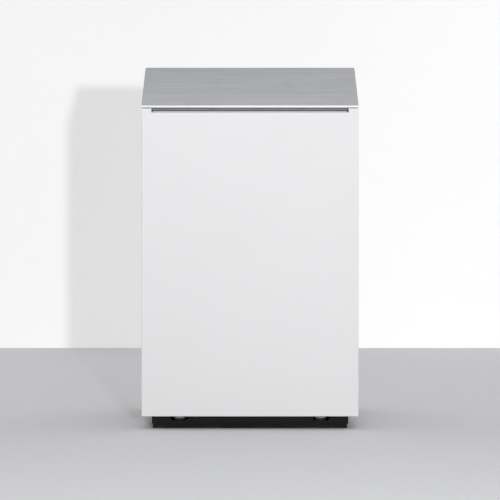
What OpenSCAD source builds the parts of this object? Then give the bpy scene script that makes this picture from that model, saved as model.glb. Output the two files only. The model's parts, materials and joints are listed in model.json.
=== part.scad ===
// Floor-standing indoor brine-to-water heat pump in a sheet-steel cabinet, in millimetres.
// +Z is up, the front faces -Y, and the origin is on the floor under the middle of the machine.

/* [Cabinet] */
// Width of the cabinet over its side panels
body_w = 650; // [650:2:660]
// Height from the floor to the top cover
total_h = 1103; // [1099:1:1107]
// Depth from the front panel to the ends of the pipe stubs
total_d = 688; // [688:1:694]
// Height of the flap's front lip, where the slope starts
lip_top = 968; // [966:1:970]
// Horizontal depth of the sloping flap
slope_run = 190; // [188:1:192]
// Thickness of the casing sheet
sheet = 1.5; // [1.2:0.1:1.6]

/* [Grip slot] */
// Width of the finger slot between the flap and the front panel
slot_w = 590; // [560:5:600]
// Depth of the notch in the front panel's top edge
slot_drop = 11.5; // [10:0.5:13]

/* [Plinth] */
// Underside of the front and side panels above the floor
panel_foot = 38.5; // [36:0.5:42]
// Width of the plinth
plinth_w = 590; // [580:2:600]
// How far the plinth stands back behind the front panel
plinth_recess = 25; // [22:1:28]
// Radius of the round spanner openings in the plinth
access_r = 32; // [30:0.5:33]

/* [Connections] */
// Outside radius of the pipe ends, G 1 1/4
stub_r = 20.95; // [20.95:0.05:21.05]
// Radius of the water and brine pipes
water_r = 14; // [13:0.5:14]
// Clear radius of the cable glands
gland_bore_r = 8; // [7:0.5:9]

/* [Hidden] */
$fn = 48;

// cabinet planes
half_w = body_w / 2;
y_front = -total_d / 2;
y_stub = total_d / 2;
y_rear = y_stub - 38;
panel_depth = 20;
y_side = y_front + panel_depth + 2;
slope = atan2(total_h - lip_top, slope_run);
slope_len = norm([total_h - lip_top, slope_run]);
gap = 0.2;

// plinth, pan and feet
plinth_front = y_front + plinth_recess;
plinth_rear = y_rear - 16;
plinth_top = 60;
pan_top = plinth_top + 2;
foot_x = 213;
foot_front_y = y_front + 62;
foot_rear_y = plinth_rear - 36;
stud_r = 10;
stud_gap = 0.05;
access_z = 50;
access_foot = 23.5;

// slot and flap
lip_bottom = lip_top - 6;
panel_top = lip_bottom - 2;
notch_z = panel_top - slot_drop;
flap_end = slope_len - 0.1;
hinge_u = flap_end - 7;
hinge_n = -7;
hinge_pin_r = 2.5;
flange_n = -10;
flap_notch = 1.8;
flap_full = hinge_u - 12;
cover_y = y_front + slope_run + 4.5;
fascia_n = -33;

// compressor
comp = [-150, -165];
comp_r = 92;
comp_base = 108;
comp_h = 417;
comp_wall = 4;
crank_throw = 4.6;
shaft_r = 15;
crank_pin_r = 12;
running_gap = 0.06;
scroll_z = 372;
wrap_t = 3.6;
wrap_pitch = 18;

// heat exchangers: plan position of the ports' centre line, and port heights
cond = [10, 170];
evap = [180, 170];
port_x = 36;
port_low = 135;
port_high = 581;
cond_front = 120;
evap_front = 95;
port_len = 25;
drier_x = 90;
drier_y = -90;
valve_x = 215;
gas_r = 11;
hot_r = 8;
liquid_r = 6;

// water side
pump_z = 720;
brine_x = evap[0] + port_x;
brine_y = 40;
heat_x = 95;
heat_y = 60;
heater_x = -10;
stub_z = 960;
brine_out_x = 272;
brine_out_y = 262;
brine_out_z = 840;
pump_r = 38;
motor_r = 42;
pump_half = 58;
pipe_above_pump = pump_z + pump_half - 3.8;
pipe_below_pump = pump_z - pump_half + 3.8;
water_wall = 1.5;
branch_r = 6;
relief_y = 200;
brine_tank = [-190, 165];
heat_tank = [-180, 150];

// electrical
box_x = 285;
box_front = -312;
box_back = -182;
box_low = 652;
box_high = 915;
rail_z = 780;
y_on_rail = box_back - 8.3;
knob_x = 110;
key_x = 158;
dial_u = 115;
gland_x = [-230, -190, -150];
gland_z = 1010;

catch_x = 305;
catch_z = [90, 930];
ball_r = 5;
screw_x = half_w - 13;
screw_z = [120, 400, 700, 1040];
screw_r = 2;

WHITE = [0.93, 0.93, 0.94];
STEEL = [0.68, 0.69, 0.71];
ZINC = [0.72, 0.74, 0.76];
BLACK = [0.10, 0.10, 0.11];
COPPER = [0.78, 0.45, 0.30];
BRASS = [0.76, 0.62, 0.34];
CAST = [0.30, 0.32, 0.34];
FOAM = [0.22, 0.22, 0.24];

// ---------- shared shapes ----------

// height of the slope at depth y, lowered by a distance measured square to the slope
function slope_z(y, drop = 0) = lip_top + (y - y_front) * tan(slope) - drop / cos(slope);

// (y, z) of a point u up the slope and n out of it
function slope_point(u, n) = [
    y_front + u * cos(slope) - n * sin(slope),
    lip_top + u * sin(slope) + n * cos(slope)
];

function cross3(a, b) = [
    a[1] * b[2] - a[2] * b[1],
    a[2] * b[0] - a[0] * b[2],
    a[0] * b[1] - a[1] * b[0]
];

// axis-aligned block between two corners
module block(low, high) {
    translate(low) cube(high - low);
}

// its children, and their mirror image in the plane x = 0
module both_sides() {
    children();
    mirror([1, 0, 0]) children();
}

// extrudes a (y, z) outline along x
module along_x(x0, x1) {
    translate([x0, 0, 0]) rotate([90, 0, 90]) linear_extrude(x1 - x0) children();
}

module rod_x(x0, x1, r, y = 0, z = 0) {
    translate([x0, y, z]) rotate([0, 90, 0]) cylinder(h = x1 - x0, r = r);
}

module rod_y(y0, y1, r, x = 0, z = 0) {
    translate([x, y0, z]) rotate([-90, 0, 0]) cylinder(h = y1 - y0, r = r);
}

module rod_z(z0, z1, r, x = 0, y = 0) {
    translate([x, y, z0]) cylinder(h = z1 - z0, r = r);
}

// six-sided prism along y
module hex_y(y0, y1, across, x = 0, z = 0) {
    translate([x, y0, z]) rotate([-90, 0, 0]) cylinder(h = y1 - y0, r = across / 2 / cos(30), $fn = 6);
}

// frame whose y runs up the slope and whose z points out of it; its origin is the top of the lip
module on_slope() {
    translate([0, y_front, lip_top]) rotate([slope, 0, 0]) children();
}

// rectangle with round corners, from one corner to the other
module round_rect(low, high, r) {
    translate([low[0] + r, low[1]]) square([high[0] - low[0] - 2 * r, high[1] - low[1]]);
    translate([low[0], low[1] + r]) square([high[0] - low[0], high[1] - low[1] - 2 * r]);
    for (x = [low[0] + r, high[0] - r], y = [low[1] + r, high[1] - r])
        translate([x, y]) circle(r);
}

// half outline of a round vessel of height h, with edges rounded by r, for turning about the y axis
module vessel_outline(radius, h, r) {
    intersection() {
        round_rect([-radius, 0], [radius, h], r);
        square([radius + 1, h]);
    }
}

// quarter bend of radius bend at corner p, from direction a to direction b
module elbow(p, a, b, r, bend) {
    c = p - a * bend + b * bend;
    n = cross3(a, b);
    multmatrix([
        [-b[0], a[0], n[0], c[0]],
        [-b[1], a[1], n[1], c[1]],
        [-b[2], a[2], n[2], c[2]],
        [0, 0, 0, 1]
    ])
        rotate_extrude(angle = 90) translate([bend, 0]) circle(r);
}

// straight rod between two points that differ along one axis only
module straight(a, b, r) {
    d = b - a;
    if (abs(d[0]) > 0) rod_x(min(a[0], b[0]), max(a[0], b[0]), r, a[1], a[2]);
    if (abs(d[1]) > 0) rod_y(min(a[1], b[1]), max(a[1], b[1]), r, a[0], a[2]);
    if (abs(d[2]) > 0) rod_z(min(a[2], b[2]), max(a[2], b[2]), r, a[0], a[1]);
}

function unit_of(v) = v / norm(v);

// solid pipe run along square-cornered points, with each corner bent; extra lengthens both ends
module run(points, r, bend, extra = 0) {
    last = len(points) - 1;
    for (i = [0 : last - 1]) {
        d = unit_of(points[i + 1] - points[i]);
        a = points[i] + d * (i == 0 ? -extra : bend);
        b = points[i + 1] - d * (i == last - 1 ? -extra : bend);
        straight(a, b, r);
    }
    for (i = [1 : max(1, last - 1)])
        if (last > 1)
            elbow(points[i], unit_of(points[i] - points[i - 1]), unit_of(points[i + 1] - points[i]), r, bend);
}

// hollow pipe run
module pipe(points, r, bend, wall = 1) {
    difference() {
        run(points, r, bend);
        run(points, r - wall, bend, 1);
    }
}

// ---------- plinth, base and frame ----------

// front rail of the plinth: a folded web with a foot that steps inward, and the spanner openings
module plinth_front_rail() {
    half = plinth_w / 2;
    difference() {
        union() {
            block([-half, plinth_front, 14], [half, plinth_front + 3, plinth_top]);
            block([-half + 3, plinth_front + 3, 1], [half - 3, plinth_front + 6, 20]);
            block([-half, plinth_front, plinth_top - 3], [half, plinth_front + 56, plinth_top]);
            both_sides()
                block([half - 3, plinth_front, 14], [half, plinth_front + 56, plinth_top]);
        }
        both_sides() {
            intersection() {
                rod_y(plinth_front - 1, plinth_front + 4, access_r, foot_x, access_z);
                block([0, plinth_front - 2, access_foot], [half, plinth_front + 5, plinth_top - 3]);
            }
            rod_z(40, 80, stud_r + stud_gap, foot_x, foot_front_y);
        }
    }
}

module plinth_rear_rail() {
    half = plinth_w / 2;
    difference() {
        union() {
            block([-half, plinth_rear - 3, 1], [half, plinth_rear, plinth_top]);
            block([-half, plinth_rear - 56, plinth_top - 3], [half, plinth_rear, plinth_top]);
        }
        both_sides()
            rod_z(40, 80, stud_r + stud_gap, foot_x, foot_rear_y);
    }
}

module plinth_rails() {
    color(BLACK) {
        plinth_front_rail();
        plinth_rear_rail();
        both_sides()
            along_x(plinth_w / 2 - 3, plinth_w / 2)
                translate([plinth_front + 56, 1]) square([plinth_rear - plinth_front - 59, plinth_top - 1]);
        both_sides()
            block([plinth_w / 2 - 30, plinth_front + 56, plinth_top - 3],
                [plinth_w / 2 - 3, plinth_rear - 56, plinth_top]);
    }
}

module base_pan() {
    color(ZINC)
    difference() {
        union() {
            block([-half_w + 5, y_side + 4, plinth_top], [half_w - 5, y_rear - 4, pan_top]);
            for (y = [y_side + 4, y_rear - 6])
                block([-half_w + 40, y, plinth_top], [half_w - 40, y + 2, 84]);
            both_sides()
                block([half_w - 7, -280, plinth_top], [half_w - 5, 264, 84]);
            for (y = [foot_front_y, foot_rear_y])
                both_sides()
                    rod_z(plinth_top, 78, 16, foot_x, y);
        }
        for (y = [foot_front_y, foot_rear_y])
            both_sides()
                rod_z(50, 90, stud_r + stud_gap, foot_x, y);
    }
}

// angle post in a corner; depth is +1 for a front post and -1 for a rear one
module post(y, depth, top) {
    x1 = half_w - 5;
    block([x1 - 30, min(y, y + depth * 2), pan_top], [x1, max(y, y + depth * 2), top]);
    block([x1 - 2, min(y, y + depth * 30), pan_top], [x1, max(y, y + depth * 30), top]);
}

module frame_posts() {
    color(ZINC)
    both_sides() {
        difference() {
            post(y_side + 6, 1, 945);
            for (z = catch_z)
                rod_y(y_side, y_side + 20, ball_r + 0.3, catch_x, z);
        }
        difference() {
            post(y_rear - 6, -1, 1085);
            for (z = screw_z)
                rod_y(y_rear - 12, y_rear, screw_r + 0.05, screw_x, z);
        }
    }
}

module frame_rails() {
    y0 = y_side + 8;
    inner = half_w - 37;
    color(ZINC) {
        // grip rail behind the slot and shelf rail under the switch box
        block([-inner, y0 - 6, 925], [inner, y0 + 14, 945]);
        block([-inner, y0, 632], [inner, y0 + 14, 650]);
        // rails round the top
        both_sides()
            block([half_w - 23, -126, 1080], [half_w - 7, y_rear - 10, 1098]);
        block([-half_w + 7, -142, 1080], [half_w - 7, -128, 1098]);
        // rails at half height, and the shelf for the heating vessel
        both_sides()
            block([half_w - 37, y0, 440], [half_w - 25, y_rear - 8, 455]);
        block([-inner, y_rear - 22, 440], [inner, y_rear - 8, 455]);
        block([-half_w + 25, 30, 455], [-60, y_rear - 8, 458]);
    }
}

// side plates that carry the flap's hinge pins
module flap_brackets() {
    color(ZINC)
    both_sides() {
        along_x(half_w - 13, half_w - 10)
            polygon([
                [y_side + 8, 900], [y_side + 8, slope_z(y_side + 8, 19)],
                slope_point(hinge_u - 10, -19), slope_point(hinge_u - 4, hinge_n - 0.5),
                slope_point(hinge_u + 3.5, hinge_n - 2.2), slope_point(hinge_u + 0.9, hinge_n - 8.6),
                slope_point(hinge_u + 0.9, -19), [-142, slope_z(-142, 19)],
                [-142, 1070], [-200, 990], [-290, 946], [-290, 900]
            ]);
        on_slope() {
            rod_x(half_w - 13, half_w - 10, 4.2, hinge_u, hinge_n);
            rod_x(half_w - 22, half_w - 13, hinge_pin_r, hinge_u, hinge_n);
        }
    }
}

// ---------- casing ----------

module side_panel() {
    along_x(half_w - sheet, half_w)
        polygon([
            [y_side, panel_foot], [y_side, slope_z(y_side, 12)],
            slope_point(hinge_u - 3, -12), slope_point(hinge_u - 3, -0.3), slope_point(slope_len - 3, -0.3),
            [cover_y, total_h - sheet], [y_rear, total_h - sheet], [y_rear, panel_foot]
        ]);
    // front flange, with holes that the front panel's ball studs pass through
    difference() {
        block([plinth_w / 2 + 2, y_side, panel_foot], [half_w - sheet, y_side + sheet, 942]);
        for (z = catch_z)
            rod_y(y_side - 1, y_side + sheet + 1, ball_r + 0.5, catch_x, z);
    }
    block([half_w - 20, y_side + sheet, panel_foot], [half_w - sheet, y_rear - 8, panel_foot + sheet]);
}

module left_side_panel() {
    color(WHITE) mirror([1, 0, 0]) side_panel();
}

module right_side_panel() {
    color(WHITE) side_panel();
}

module rear_panel() {
    w = half_w - sheet - gap;
    color(WHITE)
    difference() {
        union() {
            block([-w, y_rear - sheet, panel_foot + sheet + gap], [w, y_rear, total_h - sheet - gap]);
            both_sides()
                block([w - sheet, y_rear - 7, 90], [w, y_rear, 1070]);
        }
        for (x = [heater_x, heat_x, brine_x])
            rod_y(y_rear - 3, y_rear + 1, water_r + 8, x, stub_z);
        rod_y(y_rear - 3, y_rear + 1, water_r + 8, brine_out_x, brine_out_z);
        for (x = gland_x)
            rod_y(y_rear - 3, y_rear + 1, 12.5, x, gland_z);
        both_sides()
            for (z = screw_z)
                rod_y(y_rear - 3, y_rear + 1, screw_r + 0.3, screw_x, z);
    }
}

module top_cover() {
    color(WHITE) {
        block([-half_w, cover_y, total_h - sheet], [half_w, y_rear, total_h]);
        both_sides()
            block([half_w - 4, -140, total_h - 18], [half_w - 4 + sheet, y_rear - 10, total_h - sheet]);
    }
}

module acoustic_liners() {
    color(FOAM) {
        both_sides()
            block([half_w - 23.5, -284, 86], [half_w - 8, 266, 930]);
        block([-half_w + 42, y_rear - 24, 86], [half_w - 42, y_rear - 8, 430]);
    }
}

// pan-head screws that hold the rear panel to the posts
module casing_screws() {
    color(ZINC)
    both_sides()
        for (z = screw_z) {
            rod_y(y_rear, y_rear + 2.4, 4.5, screw_x, z);
            rod_y(y_rear - 12, y_rear, screw_r, screw_x, z);
        }
}

// ---------- refrigerant circuit ----------

module compressor_tray() {
    x0 = -276;
    x1 = -24;
    y0 = -290;
    y1 = -40;
    color(ZINC)
    difference() {
        union() {
            block([x0, y0, 88], [x1, y1, 91]);
            for (y = [y0, y1 - 2])
                block([x0, y, 80], [x1, y + 2, 91]);
        }
        for (x = [x0 + 18, x1 - 18], y = [y0 + 60, y1 - 18])
            rod_z(70, 100, 4.5, x, y);
    }
}

// rubber buffers under the tray and grommets under the compressor's feet
module rubber_mounts() {
    color(BLACK) {
        for (x = [-258, -42], y = [-230, -58])
            difference() {
                union() {
                    rod_z(pan_top, 88, 15, x, y);
                    rod_z(88, 94, 4.4, x, y);
                }
                rod_z(60, 96, 3, x, y);
            }
        for (x = [-1, 1], y = [-1, 1])
            rod_z(91, comp_base - 4, 13, comp[0] + x * 95, comp[1] + y * 95);
    }
}

module compressor_shell() {
    color(BLACK)
    translate([comp[0], comp[1], 0])
    difference() {
        union() {
            translate([0, 0, comp_base]) rotate_extrude() vessel_outline(comp_r, comp_h, 34);
            translate([0, 0, comp_base - 4]) linear_extrude(6) round_rect([-110, -110], [110, 110], 14);
            // weld bead round the cap
            translate([0, 0, 455]) rotate_extrude() translate([comp_r - 1, 0]) circle(3);
            // suction and discharge stubs
            rod_x(comp_r - 8, comp_r + 22, gas_r + 3, 0, 300);
            rod_z(comp_base + comp_h - 6, comp_base + comp_h + 16, hot_r + 3, 0, 0);
        }
        translate([0, 0, comp_base + comp_wall])
            rotate_extrude() vessel_outline(comp_r - comp_wall, comp_h - 2 * comp_wall, 30);
        rod_x(comp_r - 14, comp_r + 30, gas_r + 0.05, 0, 300);
        rod_z(comp_base + comp_h - 12, comp_base + comp_h + 20, hot_r + 0.05, 0, 0);
    }
}

module compressor_stator() {
    color(CAST)
    translate([comp[0], comp[1], 0]) {
        difference() {
            rod_z(190, 290, comp_r - comp_wall - gap, 0, 0);
            rod_z(189, 291, 45, 0, 0);
        }
        // winding heads
        color(COPPER)
            for (z = [168, 290])
                difference() {
                    rod_z(z, z + 22, 74, 0, 0);
                    rod_z(z - 1, z + 23, 50, 0, 0);
                }
    }
}

// spider-shaped lower bearing and the main bearing under the scrolls
module compressor_bearings() {
    color(CAST)
    translate([comp[0], comp[1], 0])
        for (z = [[138, 156], [330, 350]])
            difference() {
                union() {
                    rod_z(z[0], z[1], 28, 0, 0);
                    intersection() {
                        rod_z(z[0], z[0] + 10, comp_r - comp_wall - 0.5, 0, 0);
                        for (a = [0, 120, 240])
                            rotate([0, 0, a]) block([20, -10, z[0]], [comp_r, 10, z[0] + 10]);
                    }
                }
                rod_z(z[0] - 1, z[1] + 1, shaft_r + running_gap, 0, 0);
            }
}

// involute wrap of the scroll set, as one wall of even thickness
function involute(a, t, off) = [
    a * (cos(t) + t * PI / 180 * sin(t)) + off * sin(t),
    a * (sin(t) - t * PI / 180 * cos(t)) - off * cos(t)
];

module wrap(h) {
    a = wrap_pitch / (2 * PI);
    turns = [for (t = [300 : 12 : 1104]) t];
    outer = [for (t = turns) involute(a, t, wrap_t / 2)];
    inner = [for (i = [len(turns) - 1 : -1 : 0]) involute(a, turns[i], -wrap_t / 2)];
    linear_extrude(h) polygon(concat(outer, inner));
}

module fixed_scroll() {
    color(CAST)
    translate([comp[0], comp[1], 0]) {
        difference() {
            rod_z(scroll_z + 30, scroll_z + 42, comp_r - comp_wall - gap, 0, 0);
            rod_z(scroll_z + 29, scroll_z + 43, 6, 0, 0);
        }
        translate([0, 0, scroll_z + 8]) wrap(22.5);
    }
}

module orbiting_scroll() {
    color(CAST)
    translate([comp[0] + crank_throw, comp[1], 0]) {
        difference() {
            union() {
                rod_z(scroll_z, scroll_z + 6, 66, 0, 0);
                rod_z(scroll_z - 16, scroll_z + 1, 20, 0, 0);
            }
            rod_z(scroll_z - 17, scroll_z - 1, crank_pin_r + running_gap, 0, 0);
        }
        translate([0, 0, scroll_z + 5.5]) rotate([0, 0, 180]) wrap(22.5);
    }
}

module crankshaft() {
    color(STEEL)
    translate([comp[0], comp[1], 0]) {
        rod_z(134, scroll_z - 17, shaft_r, 0, 0);
        rod_z(192, 288, 44, 0, 0);
        rod_z(scroll_z - 18, scroll_z - 1.5, crank_pin_r, crank_throw, 0);
        // balance weight under the rotor
        intersection() {
            rod_z(162, 186, 40, 0, 0);
            block([-45, -45, 162], [0, 45, 186]);
        }
    }
}

module terminal_box() {
    y1 = comp[1] - comp_r;
    color(BLACK)
    difference() {
        union() {
            block([comp[0] - 38, y1 - 34, 370], [comp[0] + 38, y1 - 2, 450]);
            block([comp[0] - 22, y1 - 2, 385], [comp[0] + 22, y1 + 3, 435]);
        }
        translate([comp[0], comp[1], 300]) rod_z(0, 300, comp_r + 0.3, 0, 0);
        rod_x(comp[0] - 45, comp[0] - 30, 5.05, y1 - 18, 410);
    }
}

// x offset, height and pipe radius of an exchanger's ports: gas and liquid on the left, water on the right
function port_rows(gas, liquid) = [
    [-port_x, port_high, gas], [-port_x, port_low, liquid],
    [port_x, port_high, water_r], [port_x, port_low, water_r]
];

module ports(at, front, gas, liquid) {
    for (p = port_rows(gas, liquid))
        difference() {
            rod_y(front - port_len, front + 1, p[2] + 3, at[0] + p[0], p[1]);
            rod_y(front - port_len - 1, front + 2, p[2] + 0.05, at[0] + p[0], p[1]);
        }
}

module condenser() {
    plates = 20;
    pitch = 4.8;
    color(STEEL) {
        difference() {
            union() {
                block([cond[0] - 59.5, cond_front, 95], [cond[0] + 59.5, cond_front + 3, 621]);
                for (i = [0 : plates - 1])
                    block([cond[0] - 58, cond_front + 3 + i * pitch, 96],
                        [cond[0] + 58, cond_front + 6.4 + i * pitch, 620]);
                block([cond[0] - 56, cond_front + 2, 98], [cond[0] + 56, cond_front + 99, 618]);
                block([cond[0] - 59.5, cond_front + 98, 95], [cond[0] + 59.5, cond_front + 101, 621]);
            }
            for (p = port_rows(hot_r, liquid_r))
                rod_y(cond_front - 1, cond_front + 90, p[2] + 0.05, cond[0] + p[0], p[1]);
            // water space inside the plate pack
            block([cond[0] - 50, cond_front + 6, 106], [cond[0] + 50, cond_front + 94, 610]);
        }
        ports(cond, cond_front, hot_r, liquid_r);
        // feet that carry the pack on the base pan
        both_feet(cond[0], cond_front + 20);
    }
}

// pair of feet under the condenser
module both_feet(x, y) {
    for (s = [-1, 1])
        block([x + s * 40 - 12, y, pan_top], [x + s * 40 + 12, y + 60, 98.5]);
}

module evaporator() {
    color(BLACK) {
        difference() {
            translate([0, 0, 80]) linear_extrude(560)
                round_rect([evap[0] - 75, evap_front + 5], [evap[0] + 75, evap_front + 145], 12);
            for (p = port_rows(gas_r, liquid_r))
                rod_y(evap_front - 1, evap_front + 100, p[2] + 0.05, evap[0] + p[0], p[1]);
        }
        translate([0, 5, 0]) ports(evap, evap_front, gas_r, liquid_r);
        for (s = [-1, 1])
            block([evap[0] + s * 50 - 12, evap_front + 30, pan_top],
                [evap[0] + s * 50 + 12, evap_front + 110, 80.5]);
    }
}

module suction_line() {
    x = evap[0] - port_x;
    color(COPPER)
        pipe([
            [x, evap_front - 8, port_high], [x, 20, port_high], [x, 20, 300],
            [x, comp[1], 300], [comp[0] + comp_r + 8, comp[1], 300]
        ], gas_r, 28);
}

module discharge_line() {
    x = cond[0] - port_x;
    color(COPPER)
        pipe([
            [comp[0], comp[1], comp_base + comp_h + 2], [comp[0], comp[1], port_high],
            [x, comp[1], port_high], [x, cond_front - 12, port_high]
        ], hot_r, 22);
}

// liquid pipe in four lengths: condenser, drier, sight glass, valve, evaporator
module liquid_line() {
    x0 = cond[0] - port_x;
    x1 = evap[0] - port_x;
    color(COPPER) {
        pipe([
            [x0, cond_front - 12, port_low], [x0, drier_y, port_low],
            [drier_x, drier_y, port_low], [drier_x, drier_y, 185]
        ], liquid_r, 18);
        pipe([[drier_x, drier_y, 335], [drier_x, drier_y, 352]], liquid_r, 10);
        pipe([
            [drier_x, drier_y, 382], [drier_x, drier_y, 430],
            [valve_x, drier_y, 430], [valve_x, drier_y, 238]
        ], liquid_r, 18);
        pipe([
            [valve_x, drier_y, 182], [valve_x, drier_y, port_low],
            [x1, drier_y, port_low], [x1, evap_front - 8, port_low]
        ], liquid_r, 18);
    }
    sight_glass();
}

module sight_glass() {
    color(BRASS)
    difference() {
        union() {
            translate([drier_x, drier_y, 347]) cylinder(h = 40, r = 12, $fn = 6);
            rod_y(drier_y - 20, drier_y, 13, drier_x, 367);
        }
        rod_z(340, 390, liquid_r + 0.05, drier_x, drier_y);
        rod_y(drier_y - 21, drier_y - 16, 9, drier_x, 367);
    }
}

module filter_drier() {
    color("seagreen")
    translate([drier_x, drier_y, 180])
    difference() {
        union() {
            translate([0, 0, 10]) rotate_extrude() vessel_outline(26, 140, 14);
            rod_z(0, 160, liquid_r + 3, 0, 0);
        }
        rod_z(-1, 161, liquid_r + 0.05, 0, 0);
    }
}

// stepper-driven valve: brass body with a can on its side
module expansion_valve() {
    color(BRASS)
    difference() {
        union() {
            rod_z(176, 244, 13, valve_x, drier_y);
            rod_x(valve_x, valve_x + 28, 12, drier_y, 210);
            rod_x(valve_x + 28, valve_x + 66, 19, drier_y, 210);
        }
        rod_z(170, 250, liquid_r + 0.05, valve_x, drier_y);
    }
}

// ---------- brine and heating circuits ----------

// threaded end piece outside the rear panel
module stub(x, z) {
    difference() {
        union() {
            rod_y(y_stub - 30, y_stub, stub_r, x, z);
            hex_y(y_rear + 2, y_stub - 30, 46, x, z);
        }
        rod_y(y_rear, y_stub + 1, water_r - water_wall + 0.5, x, z);
    }
}

module brine_pipes() {
    color(COPPER) {
        // from the stub down through the pump to the evaporator's top port
        pipe([
            [brine_x, y_rear + 2, stub_z], [brine_x, brine_y, stub_z], [brine_x, brine_y, pipe_above_pump]
        ], water_r, 30, water_wall);
        pipe([
            [brine_x, brine_y, pipe_below_pump], [brine_x, brine_y, port_high],
            [brine_x, evap_front - 8, port_high]
        ], water_r, 22, water_wall);
        // from the bottom port out to the stub at the side
        pipe([
            [brine_x, evap_front - 8, port_low], [brine_x, 35, port_low], [brine_out_x, 35, port_low],
            [brine_out_x, 35, 300], [brine_out_x, brine_out_y, 300],
            [brine_out_x, brine_out_y, brine_out_z], [brine_out_x, y_rear + 2, brine_out_z]
        ], water_r, 24, water_wall);
        // branch to the expansion vessel
        pipe([
            [brine_tank[0], brine_tank[1], 402], [brine_tank[0], brine_tank[1], 428],
            [brine_tank[0], brine_out_y, 428], [brine_out_x - water_r, brine_out_y, 428]
        ], branch_r, 14);
        stub(brine_x, stub_z);
        stub(brine_out_x, brine_out_z);
    }
}

module heating_pipes() {
    x1 = cond[0] + port_x;
    color(COPPER) {
        // return: stub, pump, bottom port of the condenser
        pipe([
            [heat_x, y_rear + 2, stub_z], [heat_x, heat_y, stub_z], [heat_x, heat_y, pipe_above_pump]
        ], water_r, 30, water_wall);
        pipe([
            [heat_x, heat_y, pipe_below_pump], [heat_x, heat_y, port_low],
            [x1, heat_y, port_low], [x1, cond_front - 12, port_low]
        ], water_r, 22, water_wall);
        // flow: top port, heater, stub
        pipe([
            [x1, cond_front - 12, port_high], [x1, heat_y, port_high], [x1, heat_y, 626],
            [heater_x, heat_y, 626], [heater_x, heat_y, 662]
        ], water_r, 22, water_wall);
        pipe([
            [heater_x, heat_y, 888], [heater_x, heat_y, stub_z], [heater_x, y_rear + 2, stub_z]
        ], water_r, 30, water_wall);
        // branch to the expansion vessel
        pipe([
            [heat_tank[0], heat_tank[1], 802], [heat_tank[0], heat_tank[1], stub_z],
            [heater_x - water_r, heat_tank[1], stub_z]
        ], branch_r, 14);
        stub(heater_x, stub_z);
        stub(heat_x, stub_z);
    }
}

// in-line pump casing with a union at each end and an open front for the motor
module pump_housing(x, y) {
    difference() {
        union() {
            rod_y(y - 20, y + 26, pump_r, x, pump_z);
            rod_z(pump_z - pump_half, pump_z + pump_half, 18, x, y);
            for (s = [-1, 1])
                translate([x, y, pump_z + s * (pump_half - 9) - 9]) cylinder(h = 18, r = 22, $fn = 6);
        }
        rod_y(y - 21, y + 14, 30, x, pump_z);
        // waterway through each neck, and the socket for the pipe at its end
        for (end = [0, 1])
            translate([x, y, pump_z]) mirror([0, 0, end]) {
                rod_z(20, pump_half + 1, water_r - water_wall, 0, 0);
                rod_z(pump_half - 4, pump_half + 1, water_r + 0.05, 0, 0);
            }
    }
}

module pump_housings() {
    color(CAST) {
        pump_housing(brine_x, brine_y);
        pump_housing(heat_x, heat_y);
    }
}

// canned motor with a control head
module pump_motor(x, y) {
    color("firebrick")
    difference() {
        union() {
            rod_y(y - 28, y - 20, pump_r + 4, x, pump_z);
            rod_y(y - 84, y - 28, motor_r - 4, x, pump_z);
            block([x - 40, y - 104, pump_z - 36], [x + 40, y - 84, pump_z + 36]);
        }
        rod_y(y - 78, y - 19, 21, x, pump_z);
        rod_y(y - 82, y - 77, 5 + running_gap, x, pump_z);
    }
}

module pump_motors() {
    pump_motor(brine_x, brine_y);
    pump_motor(heat_x, heat_y);
}

// six-bladed impeller on its wet rotor
module impeller(x, y) {
    color(STEEL) {
        rod_y(y - 18, y - 15, 27, x, pump_z);
        rod_y(y - 76, y - 17, 18, x, pump_z);
        rod_y(y - 81, y - 75, 5, x, pump_z);
        for (a = [0 : 60 : 300])
            translate([x, 0, pump_z]) rotate([0, a, 0])
                block([8, y - 15.5, -1.2], [26, y - 2, 1.2]);
    }
}

module brine_impeller() {
    impeller(brine_x, brine_y);
}

module heating_impeller() {
    impeller(heat_x, heat_y);
}

// pressed steel expansion vessel with a rolled seam and a connection on top
module vessel(at, r, low, high) {
    translate([at[0], at[1], 0])
    difference() {
        union() {
            translate([0, 0, low]) rotate_extrude() vessel_outline(r, high - low, 50);
            rod_z((low + high) / 2 - 5, (low + high) / 2 + 5, r + 3, 0, 0);
            rod_z(high - 4, high + 14, 11, 0, 0);
        }
        translate([0, 0, low + 2]) rotate_extrude() vessel_outline(r - 2, high - low - 4, 48);
        rod_z(high - 6, high + 16, 6.05, 0, 0);
    }
}

module brine_vessel() {
    color("white") vessel(brine_tank, 92, 90, 400);
    color(ZINC)
        for (a = [45 : 90 : 315])
            translate([brine_tank[0], brine_tank[1], 0]) rotate([0, 0, a])
                block([40, -10, pan_top], [60, 10, 91]);
}

module heating_vessel() {
    color("firebrick") vessel(heat_tank, 116, 470, 800);
    color(ZINC)
        for (a = [45 : 90 : 315])
            translate([heat_tank[0], heat_tank[1], 0]) rotate([0, 0, a])
                block([50, -12, 458], [70, 12, 471]);
}

// upright tube heater after the condenser
module flow_heater() {
    color(STEEL)
    translate([heater_x, heat_y, 0])
    difference() {
        union() {
            translate([0, 0, 662]) rotate_extrude() vessel_outline(38, 226, 14);
            rod_z(656, 666, 18, 0, 0);
            rod_z(884, 894, 18, 0, 0);
            rod_y(-52, 0, 24, 0, 700);
        }
        translate([0, 0, 665]) rotate_extrude() vessel_outline(35.5, 220, 12);
        rod_z(650, 668, water_r + 0.05, 0, 0);
        rod_z(882, 896, water_r + 0.05, 0, 0);
        rod_y(-53, -20, 18, 0, 700);
    }
}

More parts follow.
